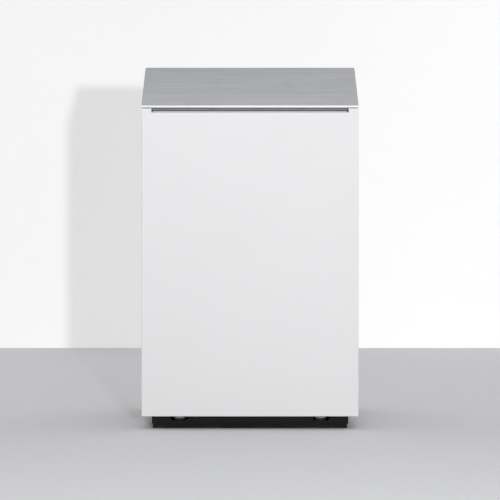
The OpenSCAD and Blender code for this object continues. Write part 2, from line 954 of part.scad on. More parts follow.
// screwed-in element: head, hexagon and two hairpin rods
module heater_element() {
    y0 = heat_y - 52;
    color(BLACK) {
        hex_y(y0 - 14, y0, 55, heater_x, 700);
        block([heater_x - 30, y0 - 54, 672], [heater_x + 30, y0 - 14, 728]);
    }
    color(STEEL) {
        rod_y(y0, y0 + 26, 17.9, heater_x, 700);
        for (s = [-1, 1])
            run([
                [heater_x + s * 10, y0 + 20, 700], [heater_x + s * 10, heat_y, 700],
                [heater_x + s * 10, heat_y, 860]
            ], 4, 12);
    }
}

// spring-loaded relief valve that stands on a pipe
module relief_body(x) {
    z0 = stub_z + water_r;
    rod_z(z0 + 0.2, z0 + 8, 9, x, relief_y);
    translate([x, relief_y, z0 + 8]) cylinder(h = 16, r = 14, $fn = 6);
    rod_y(relief_y, relief_y + 30, 8, x, z0 + 16);
    rod_z(z0 + 24, z0 + 34, 4, x, relief_y);
}

module safety_valves() {
    color(BRASS) {
        relief_body(heater_x);
        relief_body(brine_x);
    }
}

// knurled caps that lift the relief valves when turned
module relief_cap(x) {
    z0 = stub_z + water_r + 25;
    color("firebrick")
    difference() {
        union() {
            rod_z(z0, z0 + 26, 13, x, relief_y);
            for (a = [0 : 45 : 315])
                translate([x, relief_y, z0]) rotate([0, 0, a]) block([11, -2.5, 0], [15, 2.5, 22]);
        }
        rod_z(z0 - 1, z0 + 12, 4 + running_gap, x, relief_y);
    }
}

// ---------- electrical ----------

module switch_box() {
    t = 1.2;
    color(ZINC) {
        difference() {
            block([-box_x, box_front, box_low], [box_x, box_back, box_high]);
            block([-box_x + t, box_front - 1, box_low + t], [box_x - t, box_back - t, box_high - t]);
            for (x = [-250, heat_x, 230])
                rod_z(box_low - 1, box_low + 3, 5.05, x, -215);
        }
        // mounting rail
        block([-270, box_back - t - 7, rail_z - 17.5], [270, box_back - t, rail_z + 17.5]);
    }
}

// row of circuit breakers, one module each, with the recess for the linked toggle
module breakers() {
    color([0.85, 0.86, 0.84])
        for (i = [0 : 2])
            difference() {
                x = -262 + i * 18;
                union() {
                    block([x, y_on_rail - 48, rail_z - 42], [x + 17.7, y_on_rail, rail_z + 42]);
                    block([x, y_on_rail - 64, rail_z - 23], [x + 17.7, y_on_rail - 47, rail_z + 23]);
                }
                rod_x(x - 1, x + 19, 8.3, y_on_rail - 62, rail_z);
            }
}

// three poles linked by one bar
module breaker_toggle() {
    x0 = -262;
    color(BLACK) {
        rod_x(x0, x0 + 53.5, 7.7, y_on_rail - 62, rail_z);
        translate([0, y_on_rail - 62, rail_z]) rotate([-35, 0, 0])
            block([x0 + 2, -18, -3], [x0 + 51.5, -5, 3]);
    }
}

module contactors() {
    color([0.16, 0.17, 0.18])
        for (i = [0 : 2]) {
            x = -145 + i * 56;
            block([x, y_on_rail - 70, rail_z - 38], [x + 50, y_on_rail, rail_z + 38]);
            block([x + 10, y_on_rail - 82, rail_z - 22], [x + 40, y_on_rail - 70, rail_z + 22]);
        }
}

module terminal_strip() {
    pitch = 9.6;
    x0 = 45;
    color([0.75, 0.76, 0.74]) {
        block([x0, y_on_rail - 8, rail_z - 24], [x0 + 22 * pitch - 0.8, y_on_rail, rail_z + 24]);
        for (i = [0 : 21])
            block([x0 + i * pitch, y_on_rail - 40, rail_z - 26],
                [x0 + i * pitch + 8.8, y_on_rail - 4, rail_z + 26]);
    }
}

// circuit board with relays, a transformer and plug rows, on stand-offs above the mounting rail
module controller_board() {
    y0 = box_back - 1.2;
    color([0.10, 0.38, 0.20]) {
        block([-262, y0 - 11.6, 832], [60, y0 - 10, 905]);
        for (x = [-254, 52], z = [840, 897])
            rod_y(y0 - 10, y0, 3, x, z);
    }
    color(BLACK) {
        for (i = [0 : 5])
            block([-240 + i * 26, y0 - 28, 850], [-222 + i * 26, y0 - 11.6, 880]);
        block([-70, y0 - 40, 845], [-30, y0 - 11.6, 890]);
        for (i = [0 : 6])
            block([-20 + i * 11, y0 - 22, 838], [-11 + i * 11, y0 - 11.6, 850]);
    }
}

// sloping panel under the flap, with the display frame and the housing of the controls
module control_fascia() {
    n0 = fascia_n - 3;
    color([0.24, 0.25, 0.27])
    difference() {
        union() {
            on_slope() {
                block([-306, 16, n0], [306, 205, fascia_n]);
                block([-68, 74, fascia_n - 1], [68, 156, fascia_n + 3]);
                block([-76, 68, n0 - 28], [180, 162, fascia_n - 1]);
            }
            // pale strip behind the slot
            block([-slot_w / 2 + 4, y_front + 27, notch_z + 2.5],
                [slot_w / 2 - 4, y_front + 36, notch_z + 6.5]);
        }
        on_slope() {
            block([-60, 82, fascia_n - 2], [60, 148, fascia_n + 4]);
            translate([knob_x, dial_u, fascia_n - 24]) cylinder(h = 26, r = 3.05);
            block([key_x - 8.3, dial_u - 6.3, fascia_n - 12], [key_x + 8.3, dial_u + 6.3, fascia_n + 4]);
        }
    }
}

module display_window() {
    color([0.05, 0.07, 0.09])
        on_slope()
            block([-59.8, 82.2, fascia_n - 1.8], [59.8, 147.8, fascia_n + 1.5]);
}

module control_knob() {
    color(STEEL)
    on_slope()
        translate([knob_x, dial_u, 0]) {
            rod_z(fascia_n + 0.6, fascia_n + 15, 18, 0, 0);
            rod_z(fascia_n - 20, fascia_n + 2, 3, 0, 0);
        }
}

module back_key() {
    color(ZINC)
    on_slope()
        block([key_x - 8, dial_u - 6, fascia_n - 8], [key_x + 8, dial_u + 6, fascia_n + 3.5]);
}

module cable_glands() {
    color(BLACK)
        for (x = gland_x)
            difference() {
                union() {
                    rod_y(y_rear - 12, y_rear + 1, 12.4, x, gland_z);
                    hex_y(y_rear, y_rear + 6, 30, x, gland_z);
                    hex_y(y_rear - 8, y_rear - sheet, 30, x, gland_z);
                    rod_y(y_rear + 6, y_rear + 18, 13.5, x, gland_z);
                }
                rod_y(y_rear - 13, y_rear + 19, gland_bore_r, x, gland_z);
            }
}

// cables fixed along their routes: compressor feed and the two pump leads
module wiring() {
    color(BLACK) {
        run([
            [-250, -215, box_low + 12], [-250, -215, 560], [-250, comp[1] - comp_r - 18, 560],
            [-250, comp[1] - comp_r - 18, 410], [comp[0] - 32, comp[1] - comp_r - 18, 410]
        ], 5, 20);
        run([
            [heat_x, -215, box_low + 12], [heat_x, -215, 610],
            [heat_x, heat_y - 94, 610], [heat_x, heat_y - 94, pump_z - 36]
        ], 4, 16);
        run([
            [230, -215, box_low + 12], [230, -215, 610],
            [230, brine_y - 94, 610], [230, brine_y - 94, pump_z - 36]
        ], 4, 16);
    }
}

// ---------- moving casing parts ----------

// plate on the slope, narrower beside the hinge so that its end turns between the side panels
module slope_plate(u0, half, n0, n1) {
    block([-half, u0, n0], [half, flap_full, n1]);
    block([-half_w + flap_notch, flap_full - 1, n0], [half_w - flap_notch, flap_end, n1]);
}

// white steel tray of the flap: nose, sloping plate, side flanges and hinge ears
module control_flap() {
    color(WHITE)
    difference() {
        union() {
            on_slope() {
                slope_plate(0.7, half_w, -2.5, -1);
                both_sides() {
                    block([half_w - sheet, 4, flange_n], [half_w, flap_full, -1]);
                    block([half_w - 20, hinge_u - 4.4, hinge_n], [half_w - 17, hinge_u + 4.4, -2]);
                    rod_x(half_w - 20, half_w - 17, 4.4, hinge_u, hinge_n);
                }
            }
            rod_x(-half_w, half_w, 3, y_front + 3, lip_top - 3);
            block([-half_w + 3, y_front + 3, lip_bottom], [half_w - 3, y_front + 18, lip_bottom + 1.2]);
        }
        on_slope()
            both_sides()
                rod_x(half_w - 21, half_w - 16, hinge_pin_r + running_gap, hinge_u, hinge_n);
    }
}

module flap_skin() {
    color(STEEL)
        on_slope()
            slope_plate(2.5, half_w - 0.3, -1, 0);
}

// tray-shaped front panel, notched along the top for the fingers, with a ball stud near each corner
module front_panel() {
    x1 = half_w - 0.5;
    y1 = y_front + panel_depth;
    notch = slot_w / 2;
    color(WHITE) {
        difference() {
            union() {
                translate([0, 0, panel_foot]) linear_extrude(panel_top - panel_foot)
                    difference() {
                        round_rect([-x1, y_front], [x1, y1 + 10], 3);
                        round_rect([-x1 + sheet, y_front + sheet], [x1 - sheet, y1 + 12], 1.6);
                        translate([-x1 - 1, y1]) square([2 * x1 + 2, 20]);
                    }
                block([-x1 + 1, y_front + 1, panel_foot], [x1 - 1, y1, panel_foot + sheet]);
                block([-x1 + 1, y_front + 1, notch_z - sheet], [x1 - 1, y1, notch_z]);
                both_sides()
                    block([notch + sheet, y_front + 1, panel_top - sheet], [x1 - 1, y1, panel_top]);
                both_sides()
                    block([notch, y_front + 1, notch_z - sheet], [notch + sheet, y1, panel_top]);
            }
            block([-notch, y_front - 1, notch_z], [notch, y1 + 1, panel_top + 1]);
        }
        for (z = catch_z)
            both_sides() {
                rod_y(y_front + sheet, y_side + 9, 3, catch_x, z);
                translate([catch_x, y_side + 9, z]) sphere(ball_r);
            }
    }
}

module front_liner() {
    color(FOAM)
        block([-280, y_front + sheet, 70], [280, y_front + 19, 910]);
}

// ---------- levelling feet ----------

module foot(x, y) {
    color(BLACK)
    translate([x, y, 0])
        rod_z(0, 13, 29, 0, 0);
    color(ZINC)
    translate([x, y, 0]) {
        rod_z(13, 18, 22, 0, 0);
        translate([0, 0, 23.5]) cylinder(h = 16, r = 17.3, $fn = 6);
        rod_z(17, 79, stud_r, 0, 0);
    }
}

module foot_front_left() {
    foot(-foot_x, foot_front_y);
}

module foot_front_right() {
    foot(foot_x, foot_front_y);
}

module foot_rear_left() {
    foot(-foot_x, foot_rear_y);
}

module foot_rear_right() {
    foot(foot_x, foot_rear_y);
}

module heating_relief_cap() {
    relief_cap(heater_x);
}

module brine_relief_cap() {
    relief_cap(brine_x);
}

// ---------- one line per node ----------

plinth_rails();
base_pan();
frame_posts();
frame_rails();
flap_brackets();
left_side_panel();
right_side_panel();
rear_panel();
top_cover();
acoustic_liners();
casing_screws();
compressor_tray();
rubber_mounts();
compressor_shell();
compressor_stator();
compressor_bearings();
fixed_scroll();
terminal_box();
condenser();
evaporator();
suction_line();
discharge_line();
liquid_line();
filter_drier();
expansion_valve();
brine_pipes();
heating_pipes();
pump_housings();
pump_motors();
brine_vessel();
heating_vessel();
flow_heater();
heater_element();
safety_valves();
switch_box();
contactors();
breakers();
terminal_strip();
controller_board();
control_fascia();
display_window();
cable_glands();
wiring();
control_flap();
flap_skin();
front_panel();
front_liner();
crankshaft();
orbiting_scroll();
brine_impeller();
heating_impeller();
control_knob();
back_key();
breaker_toggle();
foot_front_left();
foot_front_right();
foot_rear_left();
foot_rear_right();
heating_relief_cap();
brine_relief_cap();
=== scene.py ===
"""Looks for the floor-standing heat pump: finishes for the CAD nodes, and finer pieces on its frame."""

import json
import math

import bmesh
import bpy
from mathutils import Matrix, Vector


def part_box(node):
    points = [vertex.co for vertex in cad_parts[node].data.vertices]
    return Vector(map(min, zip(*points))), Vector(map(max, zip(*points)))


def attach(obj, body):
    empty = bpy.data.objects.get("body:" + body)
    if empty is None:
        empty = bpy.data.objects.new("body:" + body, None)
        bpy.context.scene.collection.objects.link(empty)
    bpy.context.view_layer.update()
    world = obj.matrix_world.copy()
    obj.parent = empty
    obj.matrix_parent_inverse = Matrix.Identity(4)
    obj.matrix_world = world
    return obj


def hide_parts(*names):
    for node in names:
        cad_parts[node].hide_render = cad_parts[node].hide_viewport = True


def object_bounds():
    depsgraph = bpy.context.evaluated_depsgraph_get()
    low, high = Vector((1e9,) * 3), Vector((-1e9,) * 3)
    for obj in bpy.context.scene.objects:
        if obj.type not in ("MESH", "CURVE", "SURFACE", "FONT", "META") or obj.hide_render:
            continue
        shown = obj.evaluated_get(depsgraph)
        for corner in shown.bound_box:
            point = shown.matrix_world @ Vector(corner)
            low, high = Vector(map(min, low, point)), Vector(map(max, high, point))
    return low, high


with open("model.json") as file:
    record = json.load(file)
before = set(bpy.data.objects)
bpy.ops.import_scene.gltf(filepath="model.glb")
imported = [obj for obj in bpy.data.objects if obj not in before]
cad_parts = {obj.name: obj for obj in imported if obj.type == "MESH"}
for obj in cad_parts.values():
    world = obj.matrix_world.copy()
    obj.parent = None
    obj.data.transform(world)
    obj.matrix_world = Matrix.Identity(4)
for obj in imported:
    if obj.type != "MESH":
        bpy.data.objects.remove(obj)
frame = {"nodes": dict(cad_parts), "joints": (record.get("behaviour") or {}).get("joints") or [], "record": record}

CAD_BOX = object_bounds()
NODES = frame["nodes"]
SCENE = bpy.context.scene
MM = 0.001
QUARTER = math.pi / 2
UP, RIGHT, AHEAD, BEHIND = (0, 0, 1), (1, 0, 0), (0, -1, 0), (0, 1, 0)


def box_mm(node):
    """(lowest, highest) corner of a CAD node, in millimetres."""
    low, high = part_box(node)
    return low / MM, high / MM


def middle_mm(node):
    """The middle of a CAD node, in millimetres."""
    low, high = box_mm(node)
    return (low + high) / 2


def centre_mm(node):
    """(x, y) of the middle of a CAD node, and the height of its lowest point, in millimetres."""
    x, y, _ = middle_mm(node)
    return x, y, box_mm(node)[0].z


def mounts_mm(kind):
    """(x, z) of the mounts of one kind, in millimetres."""
    places = [row["pos_m"] for row in frame["record"]["mounts"] if row["kind"] == kind]
    return [(x / MM, z / MM) for x, _, z in places]


def pivot_mm(joint):
    """The point that a joint turns about, in millimetres."""
    return next(Vector(row["pos_m"]) / MM for row in frame["joints"] if row["name"] == joint)


# -------- places, in millimetres

HALF_W = CAD_BOX[1][0] / MM
FRONT = CAD_BOX[0][1] / MM
TOP = CAD_BOX[1][2] / MM
REAR = box_mm("rear_panel")[1].y
SHEET = 1.5

# the sloping flap: from its lip u runs up the slope, and n points out of it
LIP = Vector((0, FRONT, 968))
RUN, RISE = 190, TOP - LIP.z
SLOPE = math.atan2(RISE, RUN)
UP_SLOPE = Vector((0, math.cos(SLOPE), math.sin(SLOPE)))
SLOPE_NORMAL = Vector((0, -math.sin(SLOPE), math.cos(SLOPE)))
FLAP_END = math.hypot(RUN, RISE) - 0.1
FLAP_FULL = FLAP_END - 19  # where the skin narrows to fit between the top cover's corners
FASCIA_N = -33
KNOB = pivot_mm("knob_turn")
DIAL_X, DIAL_U = KNOB.x, (KNOB - LIP).dot(UP_SLOPE)
COMPRESSOR = pivot_mm("crank_spin").xy
RAIL_Y = box_mm("breakers")[1].y
RAIL_Z = middle_mm("breakers").z


def on_slope(x, u, n):
    """The point at x, u up the slope and n out of it."""
    return Vector((x, LIP.y, LIP.z)) + UP_SLOPE * u + SLOPE_NORMAL * n


# -------- camera, stage and lights

CAMERA_DISTANCE = 4.69
CAMERA_HEIGHT = 0.536
VIEW_WIDTH = 1.4945
SENSOR = 36.0
WALL_Y = 3.55


def linked(name, data):
    """A new object in the scene."""
    made = bpy.data.objects.new(name, data)
    SCENE.collection.objects.link(made)
    return made


def make_camera():
    data = bpy.data.cameras.new("camera")
    data.sensor_width = SENSOR
    data.lens = SENSOR * CAMERA_DISTANCE / VIEW_WIDTH
    camera = linked("camera", data)
    camera.location = (0, FRONT * MM - CAMERA_DISTANCE, CAMERA_HEIGHT)
    camera.rotation_euler = (QUARTER, 0, 0)
    SCENE.camera = camera
    SCENE.view_settings.view_transform = "Standard"


def lamp(kind, name, place, target, watts, glossy, **settings):
    """A light that shines from place to target."""
    data = bpy.data.lights.new(name, kind)
    data.energy = watts
    for key, value in settings.items():
        setattr(data, key, value)
    light = linked(name, data)
    light.location = place
    light.rotation_euler = (Vector(target) - Vector(place)).to_track_quat("-Z", "Y").to_euler()
    light.visible_glossy = glossy


def make_lights():
    """A key spot, whose soft-edged beam misses the floor just below it, and three faint discs."""
    lamp("SPOT", "key", (0.536, -5.3, 0.647), (0, 0, 0.6), 700, False,
         shadow_soft_size=0.045, spot_size=math.radians(46), spot_blend=0.6)
    lamp("AREA", "front_top", (0.2, -3.6, 3.6), (0, 0.2, 0.6), 8, False, shape="DISK", size=2.2)
    lamp("AREA", "back_left", (-2.8, 2.6, 2.4), (0, 0, 0.5), 6, True, shape="DISK", size=1.6)
    lamp("AREA", "back_right", (2.8, 2.8, 2.4), (0, 0, 0.5), 6, True, shape="DISK", size=1.6)


def add_node(tree, kind, sockets=None, **settings):
    """A new shader node; sockets holds a value or a source for each input that is set."""
    node = tree.nodes.new(kind)
    for key, value in settings.items():
        setattr(node, key, value)
    for name, value in (sockets or {}).items():
        if isinstance(value, bpy.types.NodeSocket):
            tree.links.new(value, node.inputs[name])
        else:
            node.inputs[name].default_value = value
    return node


def make_world():
    """Studio sky: dim at the horizon and bright overhead."""
    world = bpy.data.worlds.new("studio")
    world.use_nodes = True
    tree = world.node_tree
    place = add_node(tree, "ShaderNodeTexCoord").outputs["Generated"]
    height = add_node(tree, "ShaderNodeSeparateXYZ", {"Vector": place}).outputs["Z"]
    levels = {"Value": height, "From Min": 0.2, "From Max": 1.0, "To Min": 0.18, "To Max": 0.67}
    ramp = add_node(tree, "ShaderNodeMapRange", levels, interpolation_type="SMOOTHSTEP")
    background = tree.nodes["Background"]
    background.inputs["Color"].default_value = (0.97, 0.98, 1.0, 1)
    tree.links.new(ramp.outputs["Result"], background.inputs["Strength"])
    SCENE.world = world


# -------- material building blocks


class Paint:
    """A Principled material, and short ways to add procedural detail to it."""

    def __init__(self, name, colour, roughness=0.5, metallic=0.0, **sockets):
        self.material = bpy.data.materials.new(name)
        self.material.use_nodes = True
        self.tree = self.material.node_tree
        self.shader = self.tree.nodes["Principled BSDF"]
        self.place = self.add("ShaderNodeTexCoord").outputs["Object"]
        self.set("Base Color", (*colour, 1))
        self.set("Roughness", roughness)
        self.set("Metallic", metallic)
        for socket, value in sockets.items():
            self.set(socket.replace("_", " "), value)
        self.normal = None

    def add(self, kind, sockets=None, **settings):
        return add_node(self.tree, kind, sockets, **settings)

    def set(self, socket, value):
        self.shader.inputs[socket].default_value = value

    def link(self, source, target):
        self.tree.links.new(source, target)

    def stretched(self, scale):
        """Object coordinates, scaled along each axis if scale is given."""
        if not scale:
            return self.place
        return self.add("ShaderNodeMapping", {"Vector": self.place, "Scale": scale}).outputs["Vector"]

    def noise(self, scale, detail=3.0, stretch=None, roughness=0.5):
        sockets = {"Scale": scale, "Detail": detail, "Roughness": roughness}
        sockets["Vector"] = self.stretched(stretch)
        return self.add("ShaderNodeTexNoise", sockets).outputs["Fac"]

    def cells(self, scale, feature="F1", output="Distance", stretch=None):
        sockets = {"Vector": self.stretched(stretch), "Scale": scale}
        return self.add("ShaderNodeTexVoronoi", sockets, feature=feature).outputs[output]

    def remap(self, source, low, high, to_low=0.0, to_high=1.0):
        names = "Value", "From Min", "From Max", "To Min", "To Max"
        sockets = dict(zip(names, (source, low, high, to_low, to_high)))
        return self.add("ShaderNodeMapRange", sockets).outputs["Result"]

    def axis(self, name):
        return self.add("ShaderNodeSeparateXYZ", {"Vector": self.place}).outputs[name]

    def along(self, axis, low, high):
        """0 to 1 between two places, in metres, on one axis of the object."""
        return self.remap(self.axis(axis), low, high)

    def combine(self, operation, a, b=0.0):
        return self.add("ShaderNodeMath", {0: a, 1: b}, operation=operation).outputs["Value"]

    def ripple(self, axis, pitch, start=0.0):
        """Cosine wave along an axis: 1 at start and at each pitch from it, in metres."""
        along = self.combine("SUBTRACT", self.axis(axis), start)
        return self.combine("COSINE", self.combine("MULTIPLY", along, 2 * math.pi / pitch))

    def tint(self, colour, amount):
        """Mixes a colour into the base colour where amount is high."""
        mix = self.add("ShaderNodeMix", data_type="RGBA")
        ends = {socket.identifier: socket for socket in (*mix.inputs, *mix.outputs)}
        base = self.shader.inputs["Base Color"]
        if base.links:
            self.link(base.links[0].from_socket, ends["A_Color"])
        else:
            ends["A_Color"].default_value = base.default_value
        ends["B_Color"].default_value = (*colour, 1)
        self.link(amount, ends["Factor_Float"])
        self.link(ends["Result_Color"], base)

    def mottle(self, colour, scale, detail, low, high, amount=1.0):
        """Tints patches: a noise of this scale and detail, from none at low to amount at high."""
        self.tint(colour, self.remap(self.noise(scale, detail), low, high, 0, amount))

    def rough(self, source, low, high):
        self.link(self.remap(source, 0.25, 0.75, low, high), self.shader.inputs["Roughness"])

    def bump(self, source, depth, strength=1.0):
        """Adds a height map; depth is the height in metres of a full step."""
        sockets = {"Distance": depth, "Strength": strength, "Height": source}
        if self.normal:
            sockets["Normal"] = self.normal
        self.normal = self.add("ShaderNodeBump", sockets).outputs["Normal"]
        self.link(self.normal, self.shader.inputs["Normal"])


def shade(colour, factor, lift=0.0):
    return [min(1.0, c * factor + lift) for c in colour]


# -------- materials

BRASS = (0.72, 0.50, 0.20)
THREAD_PITCH = 0.0023


def enamel(name="white_enamel", colour=(0.762, 0.759, 0.767)):
    """White powder coat: orange peel, faint mottling, painted shade darkening it toward the floor, and dust."""
    p = Paint(name, colour, 0.5)
    p.mottle(shade(colour, 0.985), 7, 4, 0.42, 0.68)
    # painted shade: the coat is darkened toward the floor, standing in for light that falls off low down
    p.tint(shade(colour, 0.865), p.along("Z", 0.99, 0.10))
    low = p.combine("MULTIPLY", p.along("Z", 0.42, 0.03), p.noise(55, 5))
    p.tint((0.56, 0.55, 0.53), p.remap(low, 0.3, 0.8, 0, 0.07))
    p.rough(p.noise(30, 4), 0.44, 0.56)
    p.bump(p.noise(900, 2), 0.00003, 0.5)
    return p.material


def brushed_skin():
    """Stainless sheet brushed along x in three widths, with painted shade darkening its top and a painted
    highlight paling its lip.
    """
    p = Paint("brushed_skin", (0.68, 0.685, 0.70), 0.38, 0.9)
    fine = p.noise(1, 5, (3.0, 330, 330), 0.7)
    hair = p.noise(1, 2, (9.0, 1500, 1500))
    wide = p.noise(1, 3, (1.3, 42, 42))
    p.tint((0.55, 0.555, 0.57), p.remap(fine, 0.36, 0.68))
    p.tint((0.84, 0.845, 0.855), p.remap(hair, 0.55, 0.80, 0, 0.9))
    p.tint((0.58, 0.585, 0.60), p.remap(wide, 0.45, 0.75, 0, 0.45))
    p.mottle((0.42, 0.43, 0.44), 11, 5, 0.62, 0.8, 0.25)
    # painted shade: the sheet is darkened toward the top of the slope
    p.tint((0.30, 0.305, 0.31), p.remap(p.axis("Z"), 1.00, 1.09, 0, 0.13))
    # painted highlight: the sheet is paled toward its lip, standing in for a reflected light
    p.tint((0.84, 0.845, 0.855), p.remap(p.axis("Z"), 1.02, 0.97, 0, 0.15))
    p.rough(fine, 0.32, 0.48)
    p.bump(fine, 0.00006, 0.35)
    p.bump(hair, 0.00002, 0.35)
    return p.material


def plinth_enamel():
    """Brown-black satin enamel with floor dust along its foot."""
    p = Paint("plinth_enamel", (0.006, 0.004, 0.0045), 0.42, Specular_IOR_Level=0.3)
    p.mottle((0.011, 0.008, 0.0085), 9, 5, 0.4, 0.7, 0.8)
    low = p.combine("MULTIPLY", p.along("Z", 0.02, 0.0), p.noise(40, 6, (1, 1, 0.3)))
    p.tint((0.08, 0.075, 0.07), p.remap(low, 0.3, 0.75, 0, 0.25))
    p.rough(p.noise(60, 4), 0.36, 0.52)
    p.bump(p.noise(800, 2), 0.00005, 0.5)
    return p.material


def galvanised():
    """Zinc-coated sheet with spangle and a little white bloom."""
    p = Paint("galvanised_sheet", (0.60, 0.62, 0.64), 0.42, 0.85)
    spangle = p.cells(70, output="Color")
    p.tint((0.42, 0.44, 0.47), p.remap(spangle, 0.25, 0.95, 0, 0.75))
    p.mottle((0.74, 0.76, 0.77), 24, 6, 0.56, 0.8, 0.55)
    p.rough(spangle, 0.32, 0.54)
    p.bump(p.noise(260, 3), 0.00003, 0.5)
    return p.material


def metal(name, colour, roughness, stain, grain=400):
    """Bare metal with stains, handling marks and a fine grain."""
    p = Paint(name, colour, roughness, 1.0)
    p.tint(stain, p.remap(p.noise(38, 6, roughness=0.65), 0.42, 0.78, 0, 0.8))
    p.mottle(shade(colour, 0.7), 150, 4, 0.6, 0.8, 0.35)
    p.rough(p.noise(60, 5), roughness - 0.08, roughness + 0.14)
    p.bump(p.noise(grain, 3), 0.00004, 0.4)
    return p.material


def plate_stainless():
    """Stacked stainless plates with copper brazing between them."""
    p = Paint("plate_stainless", (0.60, 0.60, 0.59), 0.3, 1.0)
    p.mottle((0.42, 0.36, 0.28), 38, 6, 0.45, 0.78, 0.7)
    plate_edge = p.remap(p.ripple("Y", 0.0048, 0.128), 0.55, 0.85)
    p.tint((0.70, 0.34, 0.20), p.combine("MULTIPLY", plate_edge, p.remap(p.noise(90, 4), 0.3, 0.5)))
    p.rough(p.noise(60, 5), 0.24, 0.46)
    p.bump(p.noise(700, 3), 0.00004, 0.4)
    return p.material


def copper():
    """Drawn copper pipe with brazing stains; outside the rear panel, turned brass with a thread."""
    p = Paint("copper_pipe", (0.83, 0.42, 0.26), 0.27, 1.0)
    p.tint((0.52, 0.22, 0.12), p.remap(p.noise(22, 6, roughness=0.62), 0.46, 0.74, 0, 0.85))
    p.mottle((0.30, 0.16, 0.11), 70, 5, 0.60, 0.80, 0.7)
    p.mottle((0.90, 0.58, 0.40), 9, 3, 0.55, 0.8, 0.5)
    outside = p.along("Y", (REAR + 1.5) * MM, (REAR + 2) * MM)
    p.tint(BRASS, outside)
    p.rough(p.noise(48, 5), 0.20, 0.44)
    p.bump(p.noise(320, 3), 0.00004, 0.4)
    threaded = p.along("Y", (REAR + 9) * MM, (REAR + 10) * MM)
    p.bump(p.combine("MULTIPLY", p.ripple("Y", THREAD_PITCH), threaded), 0.0008)
    return p.material


def cast(name, colour, roughness=0.6):
    """Sand-cast metal under thin paint."""
    p = Paint(name, colour, roughness, 0.25)
    p.mottle(shade(colour, 0.6), 120, 6, 0.45, 0.75, 0.7)
    p.mottle(shade(colour, 1.6, 0.03), 420, 3, 0.6, 0.8, 0.5)
    p.rough(p.noise(200, 4), roughness - 0.1, roughness + 0.15)
    p.bump(p.noise(520, 4), 0.00025, 0.6)
    return p.material


def moulded(name, colour, roughness=0.45, grain=1400):
    """Moulded plastic with spark-eroded grain and slight fading."""
    p = Paint(name, colour, roughness)
    p.mottle(shade(colour, 1.25, 0.01), 26, 4, 0.5, 0.8, 0.5)
    p.rough(p.noise(90, 4), roughness - 0.07, roughness + 0.12)
    p.bump(p.noise(grain, 2), 0.00006, 0.5)
    return p.material


def fascia_plastic():
    """Dark grained plastic, with a pale band at the foot of the finger slot."""
    p = Paint("fascia_plastic", (0.055, 0.058, 0.064), 0.5)
    p.mottle((0.09, 0.094, 0.10), 26, 4, 0.5, 0.8, 0.5)
    p.tint((0.62, 0.62, 0.63), p.along("Z", 0.9575, 0.9565))
    p.rough(p.noise(90, 4), 0.43, 0.62)
    p.bump(p.noise(900, 2), 0.00006, 0.5)
    return p.material


def foam(name, colour, cell=420, depth=0.0006):
    """Foam: open cells, pinholes darkened with painted shade, and a dusty bloom."""
    p = Paint(name, colour, 0.92, Sheen_Weight=0.25)
    pores = p.cells(cell)
    # painted shade: the pores are darkened where light would not reach into them
    p.tint(shade(colour, 0.25), p.remap(pores, 0.32, 0.05, 0, 0.9))
    p.mottle(shade(colour, 1.9, 0.02), 14, 5, 0.5, 0.8, 0.5)
    p.bump(pores, depth, 0.7)
    return p.material


def rubber(name):
    """Moulded rubber with bloom and fine scuffs."""
    p = Paint(name, (0.025, 0.025, 0.027), 0.68)
    p.mottle((0.10, 0.10, 0.10), 60, 6, 0.52, 0.8, 0.5)
    p.rough(p.noise(130, 4), 0.55, 0.82)
    p.bump(p.noise(700, 3), 0.00008, 0.5)
    return p.material


def painted(name, colour, roughness=0.28):
    """Wet-sprayed gloss paint on pressed steel."""
    p = Paint(name, colour, roughness, Coat_Weight=0.3, Coat_Roughness=0.1)
    p.mottle(shade(colour, 0.72), 16, 5, 0.45, 0.75, 0.6)
    p.mottle(shade(colour, 1, 0.09), 85, 6, 0.6, 0.85, 0.5)
    p.rough(p.noise(45, 4), roughness - 0.06, roughness + 0.16)
    p.bump(p.noise(260, 2), 0.00012, 0.5)
    return p.material


def circuit_board():
    """Green solder mask with tracks and pads."""
    p = Paint("circuit_board", (0.012, 0.13, 0.05), 0.32, Coat_Weight=0.3)
    tracks = p.cells(170, "DISTANCE_TO_EDGE", stretch=(1, 0.05, 1))
    p.tint((0.03, 0.26, 0.11), p.remap(tracks, 0.10, 0.04))
    p.tint((0.55, 0.47, 0.25), p.remap(p.cells(260, stretch=(1, 0.05, 1)), 0.16, 0.08))
    p.rough(p.noise(120, 3), 0.25, 0.45)
    p.bump(tracks, 0.0001, 0.4)
    return p.material


def striped_wire():
    """Green and yellow protective conductor."""
    p = Paint("earth_wire", (0.02, 0.30, 0.05), 0.42)
    slant = p.combine("ADD", p.ripple("Z", 0.006), p.ripple("X", 0.006))
    p.tint((0.85, 0.66, 0.03), p.remap(slant, -0.1, 0.1))
    p.rough(p.noise(200, 3), 0.36, 0.5)
    return p.material


